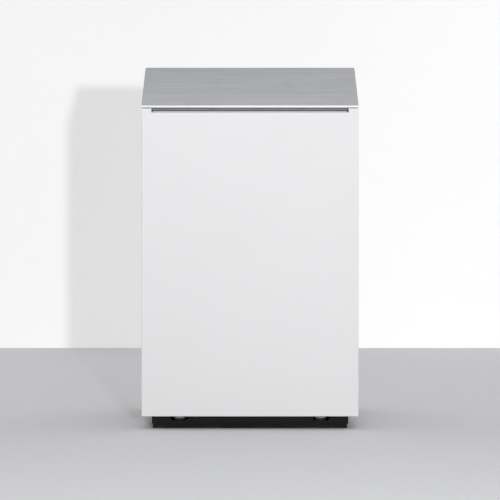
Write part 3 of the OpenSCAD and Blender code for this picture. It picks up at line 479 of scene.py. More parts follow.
FINISHES = {
    "acoustic_foam": (foam, (0.035, 0.035, 0.038)),
    "zinc_fasteners": (metal, (0.66, 0.67, 0.68), 0.32, (0.48, 0.46, 0.40)),
    "mount_rubber": (rubber,),
    "compressor_enamel": (painted, (0.012, 0.012, 0.014), 0.24),
    "lamination_steel": (metal, (0.30, 0.31, 0.33), 0.5, (0.16, 0.14, 0.13)),
    "cast_grey_iron": (cast, (0.10, 0.11, 0.12)),
    "ground_steel": (metal, (0.62, 0.62, 0.63), 0.18, (0.42, 0.40, 0.37)),
    "black_plastic": (moulded, (0.022, 0.022, 0.025), 0.42),
    "closed_cell_foam": (foam, (0.022, 0.022, 0.024), 900, 0.0003),
    "green_enamel": (painted, (0.015, 0.16, 0.06)),
    "yellow_brass": (metal, BRASS, 0.28, (0.40, 0.25, 0.09)),
    "motor_red": (cast, (0.36, 0.018, 0.014), 0.45),
    "white_vessel": (painted, (0.74, 0.75, 0.75), 0.3),
    "red_vessel": (painted, (0.42, 0.014, 0.012), 0.3),
    "heater_head": (moulded, (0.03, 0.03, 0.034), 0.5),
    "light_grey_plastic": (moulded, (0.60, 0.61, 0.60), 0.42),
    "display_glass": (moulded, (0.008, 0.011, 0.014), 0.14, 200),
    "cable_sheath": (moulded, (0.02, 0.02, 0.022), 0.55, 500),
    "impeller_plastic": (moulded, (0.36, 0.37, 0.39), 0.5),
    "knob_metal": (metal, (0.72, 0.73, 0.74), 0.26, (0.60, 0.60, 0.61)),
    "cap_plastic": (moulded, (0.40, 0.016, 0.014), 0.4),
}
MATERIALS = {name: finish(name, *look) for name, (finish, *look) in FINISHES.items()}
MATERIALS.update(
    white_enamel=enamel(),
    brushed_stainless=brushed_skin(),
    black_enamel=plinth_enamel(),
    galvanised_sheet=galvanised(),
    plate_stainless=plate_stainless(),
    copper_pipe=copper(),
    circuit_board=circuit_board(),
    fascia_plastic=fascia_plastic(),
    foot_steel_rubber=rubber("foot_rubber"),
)
BROWN_WIRE = moulded("brown_wire", (0.10, 0.035, 0.015), 0.45)
BLUE_WIRE = moulded("blue_wire", (0.01, 0.06, 0.30), 0.45)
GREY_WIRE = moulded("grey_wire", (0.22, 0.23, 0.24), 0.45)
STRIP_GREY = moulded("strip_grey", (0.052, 0.053, 0.057), 0.55)
BEAD_GREY = moulded("bead_grey", (0.52, 0.525, 0.535), 0.5)
# painted highlight: a lighter copy of the white enamel for the flap, so its lip reads as lit from above
FLAP_PAINTED_HIGHLIGHT_ENAMEL = enamel("flap_painted_highlight_enamel", (0.90, 0.90, 0.905))
DULL_ZINC = moulded("dull_zinc", (0.21, 0.21, 0.22), 0.55)
EARTH_WIRE = striped_wire()
TAG_WHITE = moulded("tag_white", (0.78, 0.78, 0.76), 0.5)
AMBER_GLASS = moulded("amber_glass", (0.24, 0.12, 0.02), 0.12, 200)


# -------- mesh building blocks, in millimetres


def bridge(bm, loops, closed=False):
    """Quads between successive loops of vertices; closed joins the last loop to the first."""
    pairs = list(zip(loops, loops[1:])) + ([(loops[-1], loops[0])] if closed else [])
    for a, b in pairs:
        for i in range(len(a)):
            j = (i + 1) % len(a)
            bm.faces.new((a[i], a[j], b[j], b[i]))


def loft(bm, rings, closed=False):
    """Skin over rings of points, capped at both ends unless it closes on itself."""
    loops = [[bm.verts.new(p) for p in ring] for ring in rings]
    bridge(bm, loops, closed)
    if not closed:
        bm.faces.new(loops[0][::-1])
        bm.faces.new(loops[-1])


def axes_of(axis):
    """Two unit vectors square to axis and to each other."""
    side = Vector((0, 0, 1)) if abs(axis.z) < 0.9 else Vector((1, 0, 0))
    u = axis.cross(side).normalized()
    return u, axis.cross(u).normalized()


def hexagonal(angle):
    return 1 / math.cos((angle + math.pi / 6) % (math.pi / 3) - math.pi / 6)


def fluted(count, depth):
    """Radius factor of a knurled rim."""
    return lambda angle: 1 - depth * (0.5 - 0.5 * math.cos(count * angle))


def turned(bm, start, axis, profile, count=48, closed=False, rim=None):
    """Turned solid. profile holds (distance, radius) pairs; a third item, True, marks those
    that rim reshapes. closed joins the last pair to the first, for a part with a bore."""
    start, axis = Vector(start), Vector(axis).normalized()
    u, v = axes_of(axis)
    rings = []
    for row in profile:
        shaped = rim if rim and len(row) == 3 else lambda angle: 1.0
        rings.append([
            start + axis * row[0] + (u * math.cos(a) + v * math.sin(a)) * (row[1] * shaped(a))
            for a in (2 * math.pi * i / count for i in range(count))
        ])
    loft(bm, rings, closed)


def rounding(steps=3):
    return [QUARTER * i / steps for i in range(steps + 1)]


def rim_levels(depth, edge, steps=3):
    """(inset, depth) pairs of a plate's edge rounded on both faces."""
    first = [(edge * (1 - math.sin(a)), edge * (1 - math.cos(a))) for a in rounding(steps)]
    return first + [(inset, depth - down) for inset, down in first[::-1]]


def rod(bm, start, axis, length, radius, edge=0.5, count=32):
    """Rod with rounded rims."""
    turned(bm, start, axis, [(down, radius - inset) for inset, down in rim_levels(length, edge)], count)


def nut(bm, start, axis, height, across):
    """Chamfered hexagon."""
    r = across / 2
    c = min(1.2, height * 0.15)
    profile = [(0, r - c, True), (c, r, True), (height - c, r, True), (height, r - c, True)]
    turned(bm, start, axis, profile, 24, rim=hexagonal)


def pan_screw(bm, start, axis, radius, height):
    """Pan-head screw with a driver recess."""
    dome = [(height * (0.4 + 0.6 * math.sin(a)), radius * (0.35 + 0.65 * math.cos(a))) for a in rounding()]
    turned(bm, start, axis, [(0, radius)] + dome + [(height * 0.45, radius * 0.30)], 16)


def rounded_ring(low, high, corner, radius, z, steps):
    """Rectangle at height z, rounded about centres that lie corner inside each of its corners."""
    ring = []
    corners = ((high[0], high[1]), (low[0], high[1]), (low[0], low[1]), (high[0], low[1]))
    for quarter, (x, y) in enumerate(corners):
        x += corner if quarter in (1, 2) else -corner
        y += corner if quarter in (2, 3) else -corner
        for a in rounding(steps):
            angle = quarter * QUARTER + a
            ring.append((x + radius * math.cos(angle), y + radius * math.sin(angle), z))
    return ring


def slab(bm, low, high, edge=0.8, steps=2):
    """Box with rounded edges."""
    low, high = Vector(low), Vector(high)
    edge = min(edge, 0.45 * min(high - low))
    levels = rim_levels(high.z - low.z, edge, steps)
    loft(bm, [rounded_ring(low, high, edge, edge - inset, low.z + down, steps) for inset, down in levels])


def placed_slab(bm, low, high, edge, place, steps=2):
    """Box with rounded edges, whose points are moved by place."""
    before = len(bm.verts)
    slab(bm, low, high, edge, steps)
    for vertex in list(bm.verts)[before:]:
        vertex.co = place(vertex.co)


def moved_in(points, distance):
    """A closed outline moved inward; its points run anticlockwise."""
    moved = []
    for i, here in enumerate(points):
        here = Vector(here)
        a = (here - Vector(points[i - 1])).normalized()
        b = (Vector(points[(i + 1) % len(points)]) - here).normalized()
        na, nb = Vector((-a.y, a.x)), Vector((-b.y, b.x))
        moved.append(here + (na + nb) * (distance / (1 + na.dot(nb))))
    return moved


def sheet_metal(bm, outline, place, levels):
    """Skin whose outline is moved in by each level's inset, at its depth; place maps (a, b, depth)."""
    loft(bm, [[place(a, b, down) for a, b in moved_in(outline, inset)] for inset, down in levels])


def tube(bm, points, radius, bend, count=16, steps=6):
    """Rod swept along corners, each rounded by bend."""
    points = [Vector(p) for p in points]
    path = [points[0]]
    for before, corner, after in zip(points, points[1:], points[2:]):
        a, b = (corner - before).normalized(), (after - corner).normalized()
        cut = bend * math.tan(a.angle(b) / 2)
        start, end = corner - a * cut, corner + b * cut
        for share in (i / steps for i in range(steps + 1)):
            path.append(start.lerp(corner, share).lerp(corner.lerp(end, share), share))
    path.append(points[-1])
    side = axes_of((path[1] - path[0]).normalized())[0]
    rings = []
    for i, p in enumerate(path):
        way = (path[min(i + 1, len(path) - 1)] - path[max(i - 1, 0)]).normalized()
        side = (side - way * side.dot(way)).normalized()
        other = way.cross(side)
        rings.append([p + (side * math.cos(a) + other * math.sin(a)) * radius
                      for a in (2 * math.pi * k / count for k in range(count))])
    loft(bm, rings)


def band(bm, low, high, z0, z1, thickness, corner, steps=5):
    """Strap round an upright block with rounded corners."""
    section = ((0, z0), (thickness, z0), (thickness, z1), (0, z1))
    loft(bm, [rounded_ring(low, high, corner, corner + out, z, steps) for out, z in section], closed=True)


def piece(name, bm, slot, replaces=(), material=None, body="cabinet", sharp=35):
    """Turns a bmesh in millimetres into an object that rides on a CAD body."""
    bmesh.ops.recalc_face_normals(bm, faces=bm.faces)
    mesh = bpy.data.meshes.new(name)
    bm.to_mesh(mesh)
    bm.free()
    mesh.transform(Matrix.Scale(MM, 4))
    for polygon in mesh.polygons:
        polygon.use_smooth = True
    mesh.set_sharp_from_angle(angle=math.radians(sharp))
    mesh.materials.append(material or MATERIALS[slot])
    made = linked(name, mesh)
    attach(made, body)
    if replaces:
        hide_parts(*replaces)


# -------- stage


def make_stage():
    """Pale grey floor, darkened toward the wall by painted shade, that meets a white wall which can't be seen from
    behind and glows with painted light, brighter toward the right.
    """
    wide = 12.0

    floor = Paint("stage_floor", (0.78, 0.78, 0.785), 0.8)
    floor.mottle((0.80, 0.80, 0.805), 0.6, 3, 0.3, 0.7)
    # painted shade: the floor darkens toward the wall, as if the light fell off with distance
    floor.tint((0.70, 0.70, 0.705), floor.along("Y", -1.5, WALL_Y))
    floor.bump(floor.noise(300, 2), 0.00005, 0.3)
    wall = Paint("stage_wall", (0.90, 0.90, 0.90), 0.9)
    wall.mottle((0.88, 0.88, 0.885), 0.8, 3, 0.3, 0.7)
    # painted light: the wall glows, a little brighter toward the right, as if lit from that side
    wall.set("Emission Color", (1, 1, 1, 1))
    wall.link(wall.remap(wall.axis("X"), -1.5, 1.5, 0.35, 0.41), wall.shader.inputs["Emission Strength"])
    behind = wall.add("ShaderNodeNewGeometry").outputs["Backfacing"]
    clear = wall.add("ShaderNodeBsdfTransparent").outputs["BSDF"]
    switch = wall.add("ShaderNodeMixShader", {"Fac": behind, 1: wall.shader.outputs["BSDF"], 2: clear})
    wall.link(switch.outputs["Shader"], wall.tree.nodes["Material Output"].inputs["Surface"])

    def sheet(name, corners, paint):
        mesh = bpy.data.meshes.new(name)
        mesh.from_pydata(corners, [], [range(len(corners))])
        mesh.materials.append(paint.material)
        linked(name, mesh)

    sheet("floor", [(-wide, -wide, 0), (wide, -wide, 0), (wide, WALL_Y, 0), (-wide, WALL_Y, 0)], floor)
    sheet("wall", [(-wide, WALL_Y, 0), (wide, WALL_Y, 0), (wide, WALL_Y, 8), (-wide, WALL_Y, 8)], wall)


# -------- CAD nodes


def finish_cad_nodes():
    """Gives every CAD node its slot's material, with a lighter enamel copy on the flap as a painted highlight, and
    rounds the edges of the sheet and block parts.
    """
    slots = {row["node"]: row["material_slot"] for row in frame["record"]["subparts"]}
    for name, node in NODES.items():
        node.data.materials.clear()
        node.data.materials.append(MATERIALS[slots[name]])
    # painted highlight: the flap gets the lighter copy of the white enamel
    NODES["control_flap"].data.materials[0] = FLAP_PAINTED_HIGHLIGHT_ENAMEL
    rounded = {
        "left_side_panel": 0.6, "right_side_panel": 0.6, "top_cover": 0.7, "rear_panel": 0.5,
        "control_flap": 0.5, "flap_brackets": 0.4, "plinth_rails": 0.8, "base_pan": 0.5,
        "frame_posts": 0.5, "frame_rails": 0.6, "compressor_tray": 0.6, "switch_box": 0.4,
        "acoustic_liners": 2.5, "front_liner": 2.5, "control_fascia": 0.6, "terminal_box": 1.5,
        "heater_element": 0.8, "evaporator": 1.5,
    }
    for name, width in rounded.items():
        node = NODES[name]
        node.modifiers.new("weld", "WELD").merge_threshold = 0.00001
        bevel = node.modifiers.new("round", "BEVEL")
        bevel.width = width * MM
        bevel.segments = 2
        bevel.limit_method = "ANGLE"
        bevel.angle_limit = math.radians(40)


# -------- casing


def make_front_panel():
    """Pressed tray with bent edges and the finger notch, and the four ball studs behind it."""
    low, high = box_mm("front_panel")
    x, z0, z1 = high.x, low.z, high.z
    notch, drop = 295, 12.3
    sill = z1 - drop
    outline = [(-x, z0), (x, z0), (x, z1), (notch, z1),
               (notch, sill), (-notch, sill), (-notch, z1), (-x, z1)]
    inside, tray_depth = 0.3, 20
    bend = SHEET + inside
    arc = rounding(5)
    outer = [(bend * (1 - math.sin(a)), bend * (1 - math.cos(a))) for a in arc]
    inner = [(SHEET + inside * (1 - math.sin(a)), SHEET + inside * (1 - math.cos(a))) for a in arc[::-1]]
    levels = outer + [(0, tray_depth), (SHEET, tray_depth)] + inner
    bm = bmesh.new()
    sheet_metal(bm, outline, lambda a, b, down: (a, FRONT + down, b), levels)
    turn = [math.radians(d) for d in range(40, 180, 20)]
    ball = [(29.5 - 5 * math.cos(a), 5 * math.sin(a)) for a in turn]
    stem = [(0, 8), (1.2, 8), (1.7, 7.2), (2.2, 3.2), (24, 3.0)]
    for z in (90, 930):
        for x in (-305, 305):
            turned(bm, (x, FRONT + SHEET, z), BEHIND, stem + ball, 24)
    piece("front_panel_pressing", bm, "white_enamel", ["front_panel"], body="front_panel")


def make_flap():
    """Brushed skin over the flap's tray, and its rubber seal."""
    half, narrow = HALF_W - 0.3, HALF_W - 1.8
    outline = [(-half, 2.5), (half, 2.5), (half, FLAP_FULL), (narrow, FLAP_FULL),
               (narrow, FLAP_END), (-narrow, FLAP_END), (-narrow, FLAP_FULL), (-half, FLAP_FULL)]
    bm = bmesh.new()
    sheet_metal(bm, outline, lambda a, b, down: on_slope(a, b, -down), rim_levels(1.0, 0.35, 2))
    piece("flap_skin_sheet", bm, "brushed_stainless", ["flap_skin"], body="control_flap")

    bm = bmesh.new()
    for u in (24, 196):
        rod(bm, on_slope(-296, u, -4.6), RIGHT, 592, 2.2, 1.0, 12)
    for x in (-298, 298):
        rod(bm, on_slope(x, 22, -4.6), UP_SLOPE, 176, 2.2, 1.0, 12)
    piece("flap_seal", bm, "mount_rubber", body="control_flap")


def make_casing_details():
    """Rear screws, grommets, blank plate, the strip, bead and clips behind the slot, and frame bolts."""
    bm = bmesh.new()
    for x in (-312, 312):
        for z in (120, 400, 700, 1040):
            pan_screw(bm, (x, REAR, z), BEHIND, 4.5, 2.4)
            rod(bm, (x, REAR - 12, z), BEHIND, 11.8, 2, 0.4, 12)
    piece("rear_screws", bm, "zinc_fasteners", ["casing_screws"])

    bm = bmesh.new()
    grommet = [(0, 15), (0, 20), (0.9, 21.8), (2.4, 21.8), (2.4, 27), (3.8, 26), (4.2, 22), (4.2, 15)]
    for x, z in mounts_mm("pin"):
        turned(bm, (x, REAR - 2.4, z), BEHIND, grommet, 40, True)
    piece("rear_grommets", bm, "mount_rubber")

    bm = bmesh.new()
    slab(bm, (-60, REAR + 0.1, 560), (40, REAR + 0.6, 630), 0.24, 1)
    piece("rating_plate", bm, "zinc_fasteners")

    bm = bmesh.new()
    for x in (-263, -111, 155):
        pan_screw(bm, (x, FRONT + 29.8, 959.7), AHEAD, 1.7, 1.3)
    piece("slot_clips", bm, "zinc_fasteners")

    bm = bmesh.new()
    web, foot, edge_trim = (31, 956.2, 32.2, 967), (31.5, 956.2, 41.5, 957.2), (25.6, 954.4, 32, 958.1)
    for y0, z0, y1, z1 in (web, foot, edge_trim):
        slab(bm, (-296.5, FRONT + y0, z0), (296.5, FRONT + y1, z1), 0.3, 1)
    piece("slot_back_strip", bm, "black_plastic", material=STRIP_GREY)

    bm = bmesh.new()
    slab(bm, (-296, FRONT + 29.8, 958.3), (296, FRONT + 31.2, 961.1), 0.4, 1)
    piece("slot_bead", bm, "black_plastic", material=BEAD_GREY)

    bm = bmesh.new()
    for side in (-1, 1):
        for face_y, z in ((FRONT + 30, 640), (FRONT + 24, 935)):
            for x in (284, 276):
                nut(bm, (side * x, face_y, z), AHEAD, 3.6, 7)
        for y in (-160, 30, 180):
            nut(bm, (side * 288, y, 447.5), (-side, 0, 0), 3.6, 7)
    piece("frame_bolts", bm, "zinc_fasteners")


def make_feet():
    """Four levelling feet: rubber pad and collar, steel plate, flanged nut and threaded stud."""
    pad = [(0.6, 4), (0.6, 20), (0, 22), (0, 27.6), (1.2, 29), (3.6, 29), (4.2, 28.2), (5.0, 28.2),
           (5.6, 29), (10.4, 28.6), (12.4, 27), (13, 25), (13, 4)]
    collar = [(17.4, 11), (17.8, 15.4), (18.4, 16), (22, 16), (22.6, 15.4), (23.4, 15.4), (24, 16),
              (27.2, 16), (27.9, 15.2), (28.2, 11)]
    plate = [(13, 4), (13, 21.2), (13.8, 22), (16, 22), (17.6, 19), (17.8, 11), (17.8, 4)]
    flange = [(28.3, 10.2), (28.3, 16.8), (28.9, 17.3), (33.6, 17.3), (34.2, 16.4), (34.6, 15.2),
              (34.6, 10.2)]
    thread = []
    for i in range(20):
        thread += [(39.5 + i * 2, 9.3), (40.5 + i * 2, 10)]
    for name in ("foot_front_left", "foot_front_right", "foot_rear_left", "foot_rear_right"):
        x, y, _ = centre_mm(name)
        bm = bmesh.new()
        turned(bm, (x, y, 0), UP, pad, 48)
        turned(bm, (x, y, 0), UP, collar, 40)
        piece(name + "_pad", bm, "foot_steel_rubber", [name], body=name)
        bm = bmesh.new()
        turned(bm, (x, y, 0), UP, plate, 48)
        turned(bm, (x, y, 0), UP, thread, 24)
        piece(name + "_spindle", bm, "zinc_fasteners", body=name)
        bm = bmesh.new()
        turned(bm, (x, y, 0), UP, flange, 48)
        nut(bm, (x, y, 34.4), UP, 5.1, 30)
        piece(name + "_nut", bm, "zinc_fasteners", material=DULL_ZINC, body=name)


def make_glands():
    """Three cable glands with ribbed caps and open bores."""
    body = [(-12, 8), (-12, 11.6), (-11.2, 12.4), (0, 12.4), (0, 14, True), (0.8, 15, True),
            (5.2, 15, True), (6, 14, True), (6, 13), (7, 13.5, True), (14, 13.5, True), (16.6, 12),
            (18, 9.6), (17.6, 8.6), (16, 8)]
    back_nut = [(-8, 12.5), (-8, 14, True), (-7.3, 15, True), (-2.3, 15, True), (-1.6, 14, True),
                (-1.6, 12.5)]
    bm = bmesh.new()
    for x, z in mounts_mm("bore"):
        turned(bm, (x, REAR, z), BEHIND, body, 48, True, hexagonal)
        turned(bm, (x, REAR, z), BEHIND, back_nut, 24, True, hexagonal)
    piece("gland_bodies", bm, "black_plastic", ["cable_glands"])


# -------- controls under the flap


def make_controls():
    """Display glass, knurled knob, back key and fascia screws."""
    bm = bmesh.new()
    outline = [(-59.8, 82.2), (59.8, 82.2), (59.8, 147.8), (-59.8, 147.8)]
    face = FASCIA_N + 1.5
    sheet_metal(bm, outline, lambda a, b, down: on_slope(a, b, face - down), rim_levels(3.3, 0.6, 2))
    piece("display_pane", bm, "display_glass", ["display_window"])

    bm = bmesh.new()
    turned(bm, on_slope(DIAL_X, DIAL_U, FASCIA_N), SLOPE_NORMAL, [
        (0.6, 16.6), (0.6, 17.2), (1.4, 18, True), (12.4, 18, True), (13.4, 17.2), (14.4, 16), (15, 15),
        (14.2, 13.4), (14.2, 0.4)], 180, rim=fluted(45, 0.035))
    rod(bm, on_slope(DIAL_X, DIAL_U, FASCIA_N - 20), SLOPE_NORMAL, 21, 3, 0.4, 16)
    mark = ((DIAL_X - 0.6, DIAL_U + 8, FASCIA_N + 14), (DIAL_X + 0.6, DIAL_U + 14.6, FASCIA_N + 14.9))
    placed_slab(bm, *mark, 0.2, lambda p: on_slope(*p))
    piece("knob_turned", bm, "knob_metal", ["control_knob"], body="control_knob")

    bm = bmesh.new()
    cap = ((150, DIAL_U - 6, FASCIA_N - 8), (166, DIAL_U + 6, FASCIA_N + 3))
    placed_slab(bm, *cap, 1.0, lambda p: on_slope(*p))
    for du in (-1, 1):
        corners = [(154.5, 0), (158, du * 3.2), (159, du * 2.6), (156.2, 0)]
        corners = corners if du < 0 else corners[::-1]
        loft(bm, [[on_slope(x, DIAL_U + u, FASCIA_N + n) for x, u in corners] for n in (2.8, 3.45)])
    piece("key_cap", bm, "zinc_fasteners", ["back_key"], TAG_WHITE, body="back_key")

    bm = bmesh.new()
    for x in (-296, -100, 200, 296):
        for u in (26, 195):
            pan_screw(bm, on_slope(x, u, FASCIA_N), SLOPE_NORMAL, 4, 2.2)
    piece("fascia_screws", bm, "zinc_fasteners")


# -------- refrigerant and water circuits


def make_pump(name):
    """Circulator motor: ribbed can and flange in red, black control head with a round dial and a plug."""
    x, _, z = pivot_mm(name + "_impeller_spin")
    y = box_mm(name + "_impeller")[1].y + 2
    bm = bmesh.new()
    ribs = []
    for i in range(8):
        ribs += [(22 + i * 5, 38), (24 + i * 5, 38), (24.4 + i * 5, 36), (26.6 + i * 5, 36)]
    flange = [(0, 22), (0, 41), (1, 42), (7, 42), (8, 41), (8.2, 37), (12, 37.6)]
    turned(bm, (x, y - 20, z), AHEAD, flange + ribs + [(63.5, 37)], 56)
    for a in (45, 135, 225, 315):
        dx, dz = 34 * math.cos(math.radians(a)), 34 * math.sin(math.radians(a))
        bolt = [(0, 4.4), (5, 4.4), (5.6, 3.8), (5.6, 2.2), (3, 2.0)]
        turned(bm, (x + dx, y - 28, z + dz), AHEAD, bolt, 18)
    piece(name + "_pump_motor_can", bm, "motor_red")
    bm = bmesh.new()
    slab(bm, (x - 40, y - 102, z - 36), (x + 40, y - 83.5, z + 36), 4, 4)
    turned(bm, (x, y - 101.5, z + 6), AHEAD, [(0, 26), (1.6, 25.4), (2.2, 24), (2.2, 2)], 48)
    slab(bm, (x - 17, y - 103.8, z - 33), (x + 17, y - 100, z - 23), 1.2)
    piece(name + "_pump_control_head", bm, "black_plastic")
    bm = bmesh.new()
    dial = [(0, 9), (0.5, 9, True), (0.75, 8.4), (0.75, 1)]
    turned(bm, (x, y - 103.2, z + 6), AHEAD, dial, 60, rim=fluted(20, 0.05))
    piece(name + "_pump_dial", bm, "cap_plastic")


def make_circuits():
    """Pump motors, insulation on the brine pipes, straps, seams, bolts and labels."""
    make_pump("brine")
    make_pump("heating")
    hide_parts("pump_motors")

    bm = bmesh.new()
    tube(bm, [(216, 300, 960), (216, 40, 960), (216, 40, 784)], 20, 32, 28, 8)
    tube(bm, [(216, 40, 656), (216, 40, 581), (216, 73, 581)], 20, 24, 28, 8)
    tube(bm, [(216, 73, 135), (216, 35, 135), (272, 35, 135), (272, 35, 300), (275, 262, 300),
              (275, 262, 840), (275, 298, 840)], 19.2, 25, 28, 8)
    piece("brine_insulation", bm, "closed_cell_foam", sharp=60)

    bm = bmesh.new()
    low, high = box_mm("evaporator")
    low.y = high.y - 140
    for z in (190, 360, 530):
        band(bm, low, high, z, z + 14, 0.8, 12)
        slab(bm, (low.x + 45, low.y - 2.8, z - 1), (low.x + 63, low.y + 0.2, z + 15), 0.7)
    for z in (106, 606):
        band(bm, low, high, z, z + 3, 0.7, 12)
    piece("evaporator_straps", bm, "black_plastic")

    cx, cy = COMPRESSOR
    sole = box_mm("compressor_shell")[0].z
    washer = [(0, 5), (0, 11.4), (0.4, 12), (1.8, 12), (2.2, 11.4), (2.2, 5)]
    bm = bmesh.new()
    for dx in (-95, 95):
        for dy in (-95, 95):
            turned(bm, (cx + dx, cy + dy, sole + 6), UP, washer, 32)
            nut(bm, (cx + dx, cy + dy, sole + 8), UP, 7.5, 16)
            rod(bm, (cx + dx, cy + dy, sole + 15), UP, 5, 4.8, 0.8, 16)
    for x in (-20, 40):
        for z in (250, 440):
            nut(bm, (x, 120, z), AHEAD, 6, 12)
            rod(bm, (x, 114, z), AHEAD, 8, 3.9, 0.6, 16)
    piece("circuit_bolts", bm, "zinc_fasteners")

    bm = bmesh.new()
    belt = [(44, 91.6), (44, 94), (45, 95), (55, 95), (56, 94), (56, 91.6)]
    turned(bm, (cx, cy, sole), UP, belt, 72, True)
    slab(bm, (cx + 80, cy - 60, sole + 43), (cx + 92, cy - 44, sole + 57), 1.5)
    piece("crankcase_heater", bm, "mount_rubber")

    bm = bmesh.new()
    for up, r in ((14, 91.9), (348, 92.2), (355, 92.2)):
        bead = [(0, r - 1), (0.8, r + 1.1), (2.2, r + 1.1), (3, r - 1)]
        turned(bm, (cx, cy, sole + up), UP, bead, 96, True)
    piece("compressor_welds", bm, "compressor_enamel")

    bm = bmesh.new()
    arc = [math.radians(-150 + i * 5) for i in range(9)]
    rim = [(92.5, a) for a in arc] + [(91.5, a) for a in arc[::-1]]
    outline = [(cx + r * math.cos(a), cy + r * math.sin(a)) for r, a in rim]
    loft(bm, [[(x, y, sole + up) for x, y in outline] for up in (131, 211)])
    piece("compressor_label", bm, "light_grey_plastic")

    bm = bmesh.new()
    drier_x, _, drier_z = centre_mm("filter_drier")
    sight = (drier_x, box_mm("liquid_line")[0].y, drier_z + 187)
    turned(bm, sight, BEHIND, [(0, 9.4), (0.8, 9.8), (1.6, 9.4), (1.6, 1)], 32)
    piece("sight_glass_pane", bm, "yellow_brass", material=AMBER_GLASS)

    bm = bmesh.new()
    coil_end = [(-0.6, 2), (-0.6, 17), (0, 18.6), (1.4, 19.4), (3, 19.4), (4, 19.1)]
    coil = middle_mm("expansion_valve")
    coil.x = box_mm("expansion_valve")[1].x
    turned(bm, coil, (-1, 0, 0), coil_end, 40)
    slab(bm, coil + Vector((-19, -8, 17)), coil + Vector((-3, 8, 26)), 2)
    piece("valve_coil_cap", bm, "black_plastic")

    bm = bmesh.new()
    for name, r, height in (("brine_vessel", 92, 183), ("heating_vessel", 116, 177)):
        x, y, z = centre_mm(name)
        seam = [(0, r - 1), (0.4, r + 1.6), (1.6, r + 1.6), (2, r - 1)]
        for up in (height - 6.5, height + 4.5):
            turned(bm, (x, y, z + up), UP, seam, 96, True)
    piece("vessel_seams", bm, "zinc_fasteners")

    bm = bmesh.new()
    x, _, z = centre_mm("heater_element")
    for dx in (-23, 23):
        for dz in (7, 49):
            pan_screw(bm, (x + dx, box_mm("heater_element")[0].y, z + dz), AHEAD, 3.4, 2)
    piece("heater_head_screws", bm, "zinc_fasteners")


def make_relief_caps():
    """Ribbed turning caps of the two relief valves."""
    cap = [(12, 3.2), (0.4, 4.2), (0, 5.4), (0, 14, True), (0.8, 15, True), (20, 15, True), (22.4, 14),
           (24.6, 12.4), (26, 9), (26, 1)]
    for name in ("heating_relief_cap", "brine_relief_cap"):
        x, y, z = centre_mm(name)
        bm = bmesh.new()
        turned(bm, (x, y, z), UP, cap, 96, rim=fluted(8, 0.16))
        for a in (0, 120, 240):
            way = Vector((math.cos(math.radians(a)), math.sin(math.radians(a)), 0))
            rod(bm, Vector((x, y, z + 25.4)) + way * 2, way, 6, 0.7, 0.3, 8)
        piece(name + "_ribbed", bm, "cap_plastic", [name], body=name)


# -------- electrical

BREAKERS = [box_mm("breakers")[0].x + i * 18 for i in range(3)]
CONTACTORS = [box_mm("contactors")[0].x + i * 56 for i in range(3)]
TERMINALS = [box_mm("terminal_strip")[0].x + i * 9.6 for i in range(22)]
PIVOT_Y = RAIL_Y - 62
TRUNK_TOP = 712


def rail(x, out, up):
    """The point at x on the mounting rail, so far out of it and up from its middle."""
    return Vector((x, RAIL_Y - out, RAIL_Z + up))


def make_breakers():
    """Three-pole breaker with stepped housings, terminal screws and its linked toggle."""
    grey, screws, tags = bmesh.new(), bmesh.new(), bmesh.new()
    for x in BREAKERS:
        slab(grey, rail(x, 48, -42), rail(x + 17.6, 0, 42), 1.2)
        for z0, z1 in ((-23, -8.6), (8.6, 23)):
            slab(grey, rail(x, 64, z0), rail(x + 17.6, 46, z1), 1.0)
        for x0 in (0, 16):
            slab(grey, rail(x + x0, 58, -12), rail(x + x0 + 1.6, 46, 12), 0.4)
        for dz in (-34, 34):
            pan_screw(screws, rail(x + 8.8, 48, dz), AHEAD, 4.2, 1.6)
        slab(tags, rail(x + 3, 64.5, 11), rail(x + 14.6, 63.6, 20), 0.3)
    piece("breaker_housings", grey, "light_grey_plastic", ["breakers"])
    piece("breaker_screws", screws, "zinc_fasteners")
    piece("breaker_windows", tags, "light_grey_plastic", material=TAG_WHITE)

    bm = bmesh.new()
    rod(bm, (BREAKERS[0], PIVOT_Y, RAIL_Z), RIGHT, 53.5, 7.6, 0.8, 32)
    tilt = Matrix.Rotation(math.radians(-35), 4, "X")
    pivot = Vector((0, PIVOT_Y, RAIL_Z))
    placed_slab(bm, (-260, -18, -3), (-210.5, -5, 3), 1.4, lambda p: tilt @ p + pivot, 3)
    piece("toggle_bar", bm, "black_plastic", ["breaker_toggle"], body="breaker_toggle")


def make_contactors():
    """Three contactors with stepped housings, walled terminal screws and white armature flags."""
    dark, screws, tags = bmesh.new(), bmesh.new(), bmesh.new()
    for x in CONTACTORS:
        slab(dark, rail(x, 56, -38), rail(x + 50, 0, 38), 1.6)
        slab(dark, rail(x, 70, -25), rail(x + 50, 55, 25), 1.6)
        slab(dark, rail(x + 10, 82, -22), rail(x + 40, 69, 22), 2.4, 3)
        slab(tags, rail(x + 15, 82.6, -4), rail(x + 35, 81.6, 8), 0.4)
        for dz in (-31.5, 31.5):
            for cell in (x + 1.5 + k * 12 for k in range(4)):
                for wall in (cell - 0.4, cell + 10):
                    slab(dark, rail(wall, 60, dz - 6.4), rail(wall + 1.2, 55, dz + 6.4), 0.3)
                pan_screw(screws, rail(cell + 5.4, 56, dz), AHEAD, 3.6, 2)
    piece("contactor_housings", dark, "black_plastic", ["contactors"])
    piece("contactor_screws", screws, "zinc_fasteners")
    piece("contactor_flags", tags, "light_grey_plastic", material=TAG_WHITE)


